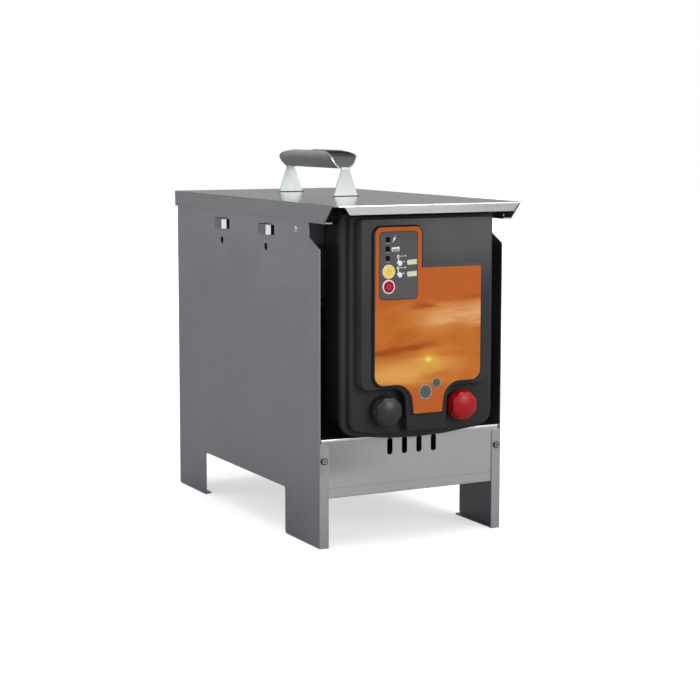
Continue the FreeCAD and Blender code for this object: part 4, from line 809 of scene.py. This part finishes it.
def ring(cx, cz, r0, r1, n=20):
    out = []
    for i in range(n):
        a, b = 2 * math.pi * i / n, 2 * math.pi * (i + 1) / n
        out.append([(cx + r0 * math.cos(a), cz + r0 * math.sin(a)), (cx + r1 * math.cos(a), cz + r1 * math.sin(a)),
                    (cx + r1 * math.cos(b), cz + r1 * math.sin(b)), (cx + r0 * math.cos(b), cz + r0 * math.sin(b))])
    return out


def hand(cx, cz):
    """A small pointing hand."""
    shape = [(-1.9, 3.4), (-1.0, 3.7), (-0.5, 1.3), (0.4, 1.5), (0.7, 1.0), (1.5, 1.2), (1.8, 0.6), (2.6, 0.7), (2.9, -0.3), (2.6, -2.2), (1.9, -3.6),
             (-0.7, -3.4), (-1.5, -2.0), (-3.1, -0.1), (-2.6, 0.6), (-1.5, -0.1)]
    return [(cx + a * 1.18, cz + b * 1.18) for a, b in shape]


# a thin black strip at the base of each handle foot: painted shadow line
for tag, yc, out in (("front", 169.0, -1), ("rear", 323.0, -1)):
    bm = bmesh.new()
    bmesh.ops.create_cube(bm, size=1.0, matrix=Matrix.Translation((0, Y(yc - 1.45), 390.05 * MM)) @ Matrix.Diagonal((35.0 * MM, 0.9 * MM, 0.9 * MM, 1)))
    finish_mesh(bm, "handle_shadow_line_" + tag, "lid", [M["rubber"]], sharp=30.0, weighted=False)

# shadow line along the top of each pressed hook
for i, (sx, ya) in enumerate([(-1, -50.2), (-1, 79.8), (1, -50.2), (1, 79.8)]):
    bm = bmesh.new()
    bmesh.ops.create_cube(bm, size=1.0, matrix=Matrix.Translation((sx * 123.3 * MM, ya * MM, 360.95 * MM)) @ Matrix.Diagonal((1.2 * MM, 26.0 * MM, 0.9 * MM, 1)))
    finish_mesh(bm, "hook_shadow_line_%d" % i, "case", [M["rubber"]], sharp=30.0, weighted=False)

FACE = -35.7
INK = 0.06
white = [
    [(-42.9, 355.3), (-46.5, 351.0), (-45.3, 350.6), (-47.8, 346.4), (-42.4, 352.0), (-43.9, 352.5)],
    [(-48.2, 339.9), (-47.7, 341.9), (-38.1, 342.6), (-37.9, 340.3)],
    bar(-47.9, 337.2, -46.9, 339.6), bar(-39.3, 337.6, -38.3, 340.0),
    hand(-37.9, 325.5), hand(-37.9, 312.4),
    disc(-35.9, 331.9, 0.7, 10), disc(-33.4, 332.0, 0.55, 10), disc(-30.6, 332.2, 0.95, 12),
    disc(-35.9, 319.0, 0.7, 10), disc(-33.4, 319.1, 0.55, 10), disc(-30.6, 319.3, 0.95, 12),
    [(-33.9, 325.5), (-31.8, 326.6), (-31.8, 324.6)], [(-33.9, 312.5), (-31.8, 313.6), (-31.8, 311.6)],
]
prism("print_white", white + ring(-39.7, 331.7, 0.9, 1.75, 16), FACE, INK, M["ink_white"], "case")
prism("print_green", [[(-28.6, 324.9), (-27.9, 327.4), (-15.9, 328.0), (-15.8, 322.5), (-27.4, 321.9)],
                      [(-28.6, 311.7), (-27.9, 314.2), (-15.9, 314.8), (-15.8, 309.2), (-27.4, 308.7)]] + ring(-39.7, 318.8, 0.5, 1.8, 16),
      FACE, INK, M["ink_green"], "case")
# the long grey bar is print; the three short bars under the LED windows are painted reflections of the window ledges
prism("print_grey_and_highlights", [bar(-46.7, 337.2, -39.5, 339.6)] + [bar(-52.9 - 2.9, zz - 4.6, -52.9 + 2.9, zz - 4.1) for zz in (330.0, 340.4, 350.8)],
      FACE, INK, M["ink_grey_and_highlight"], "case")
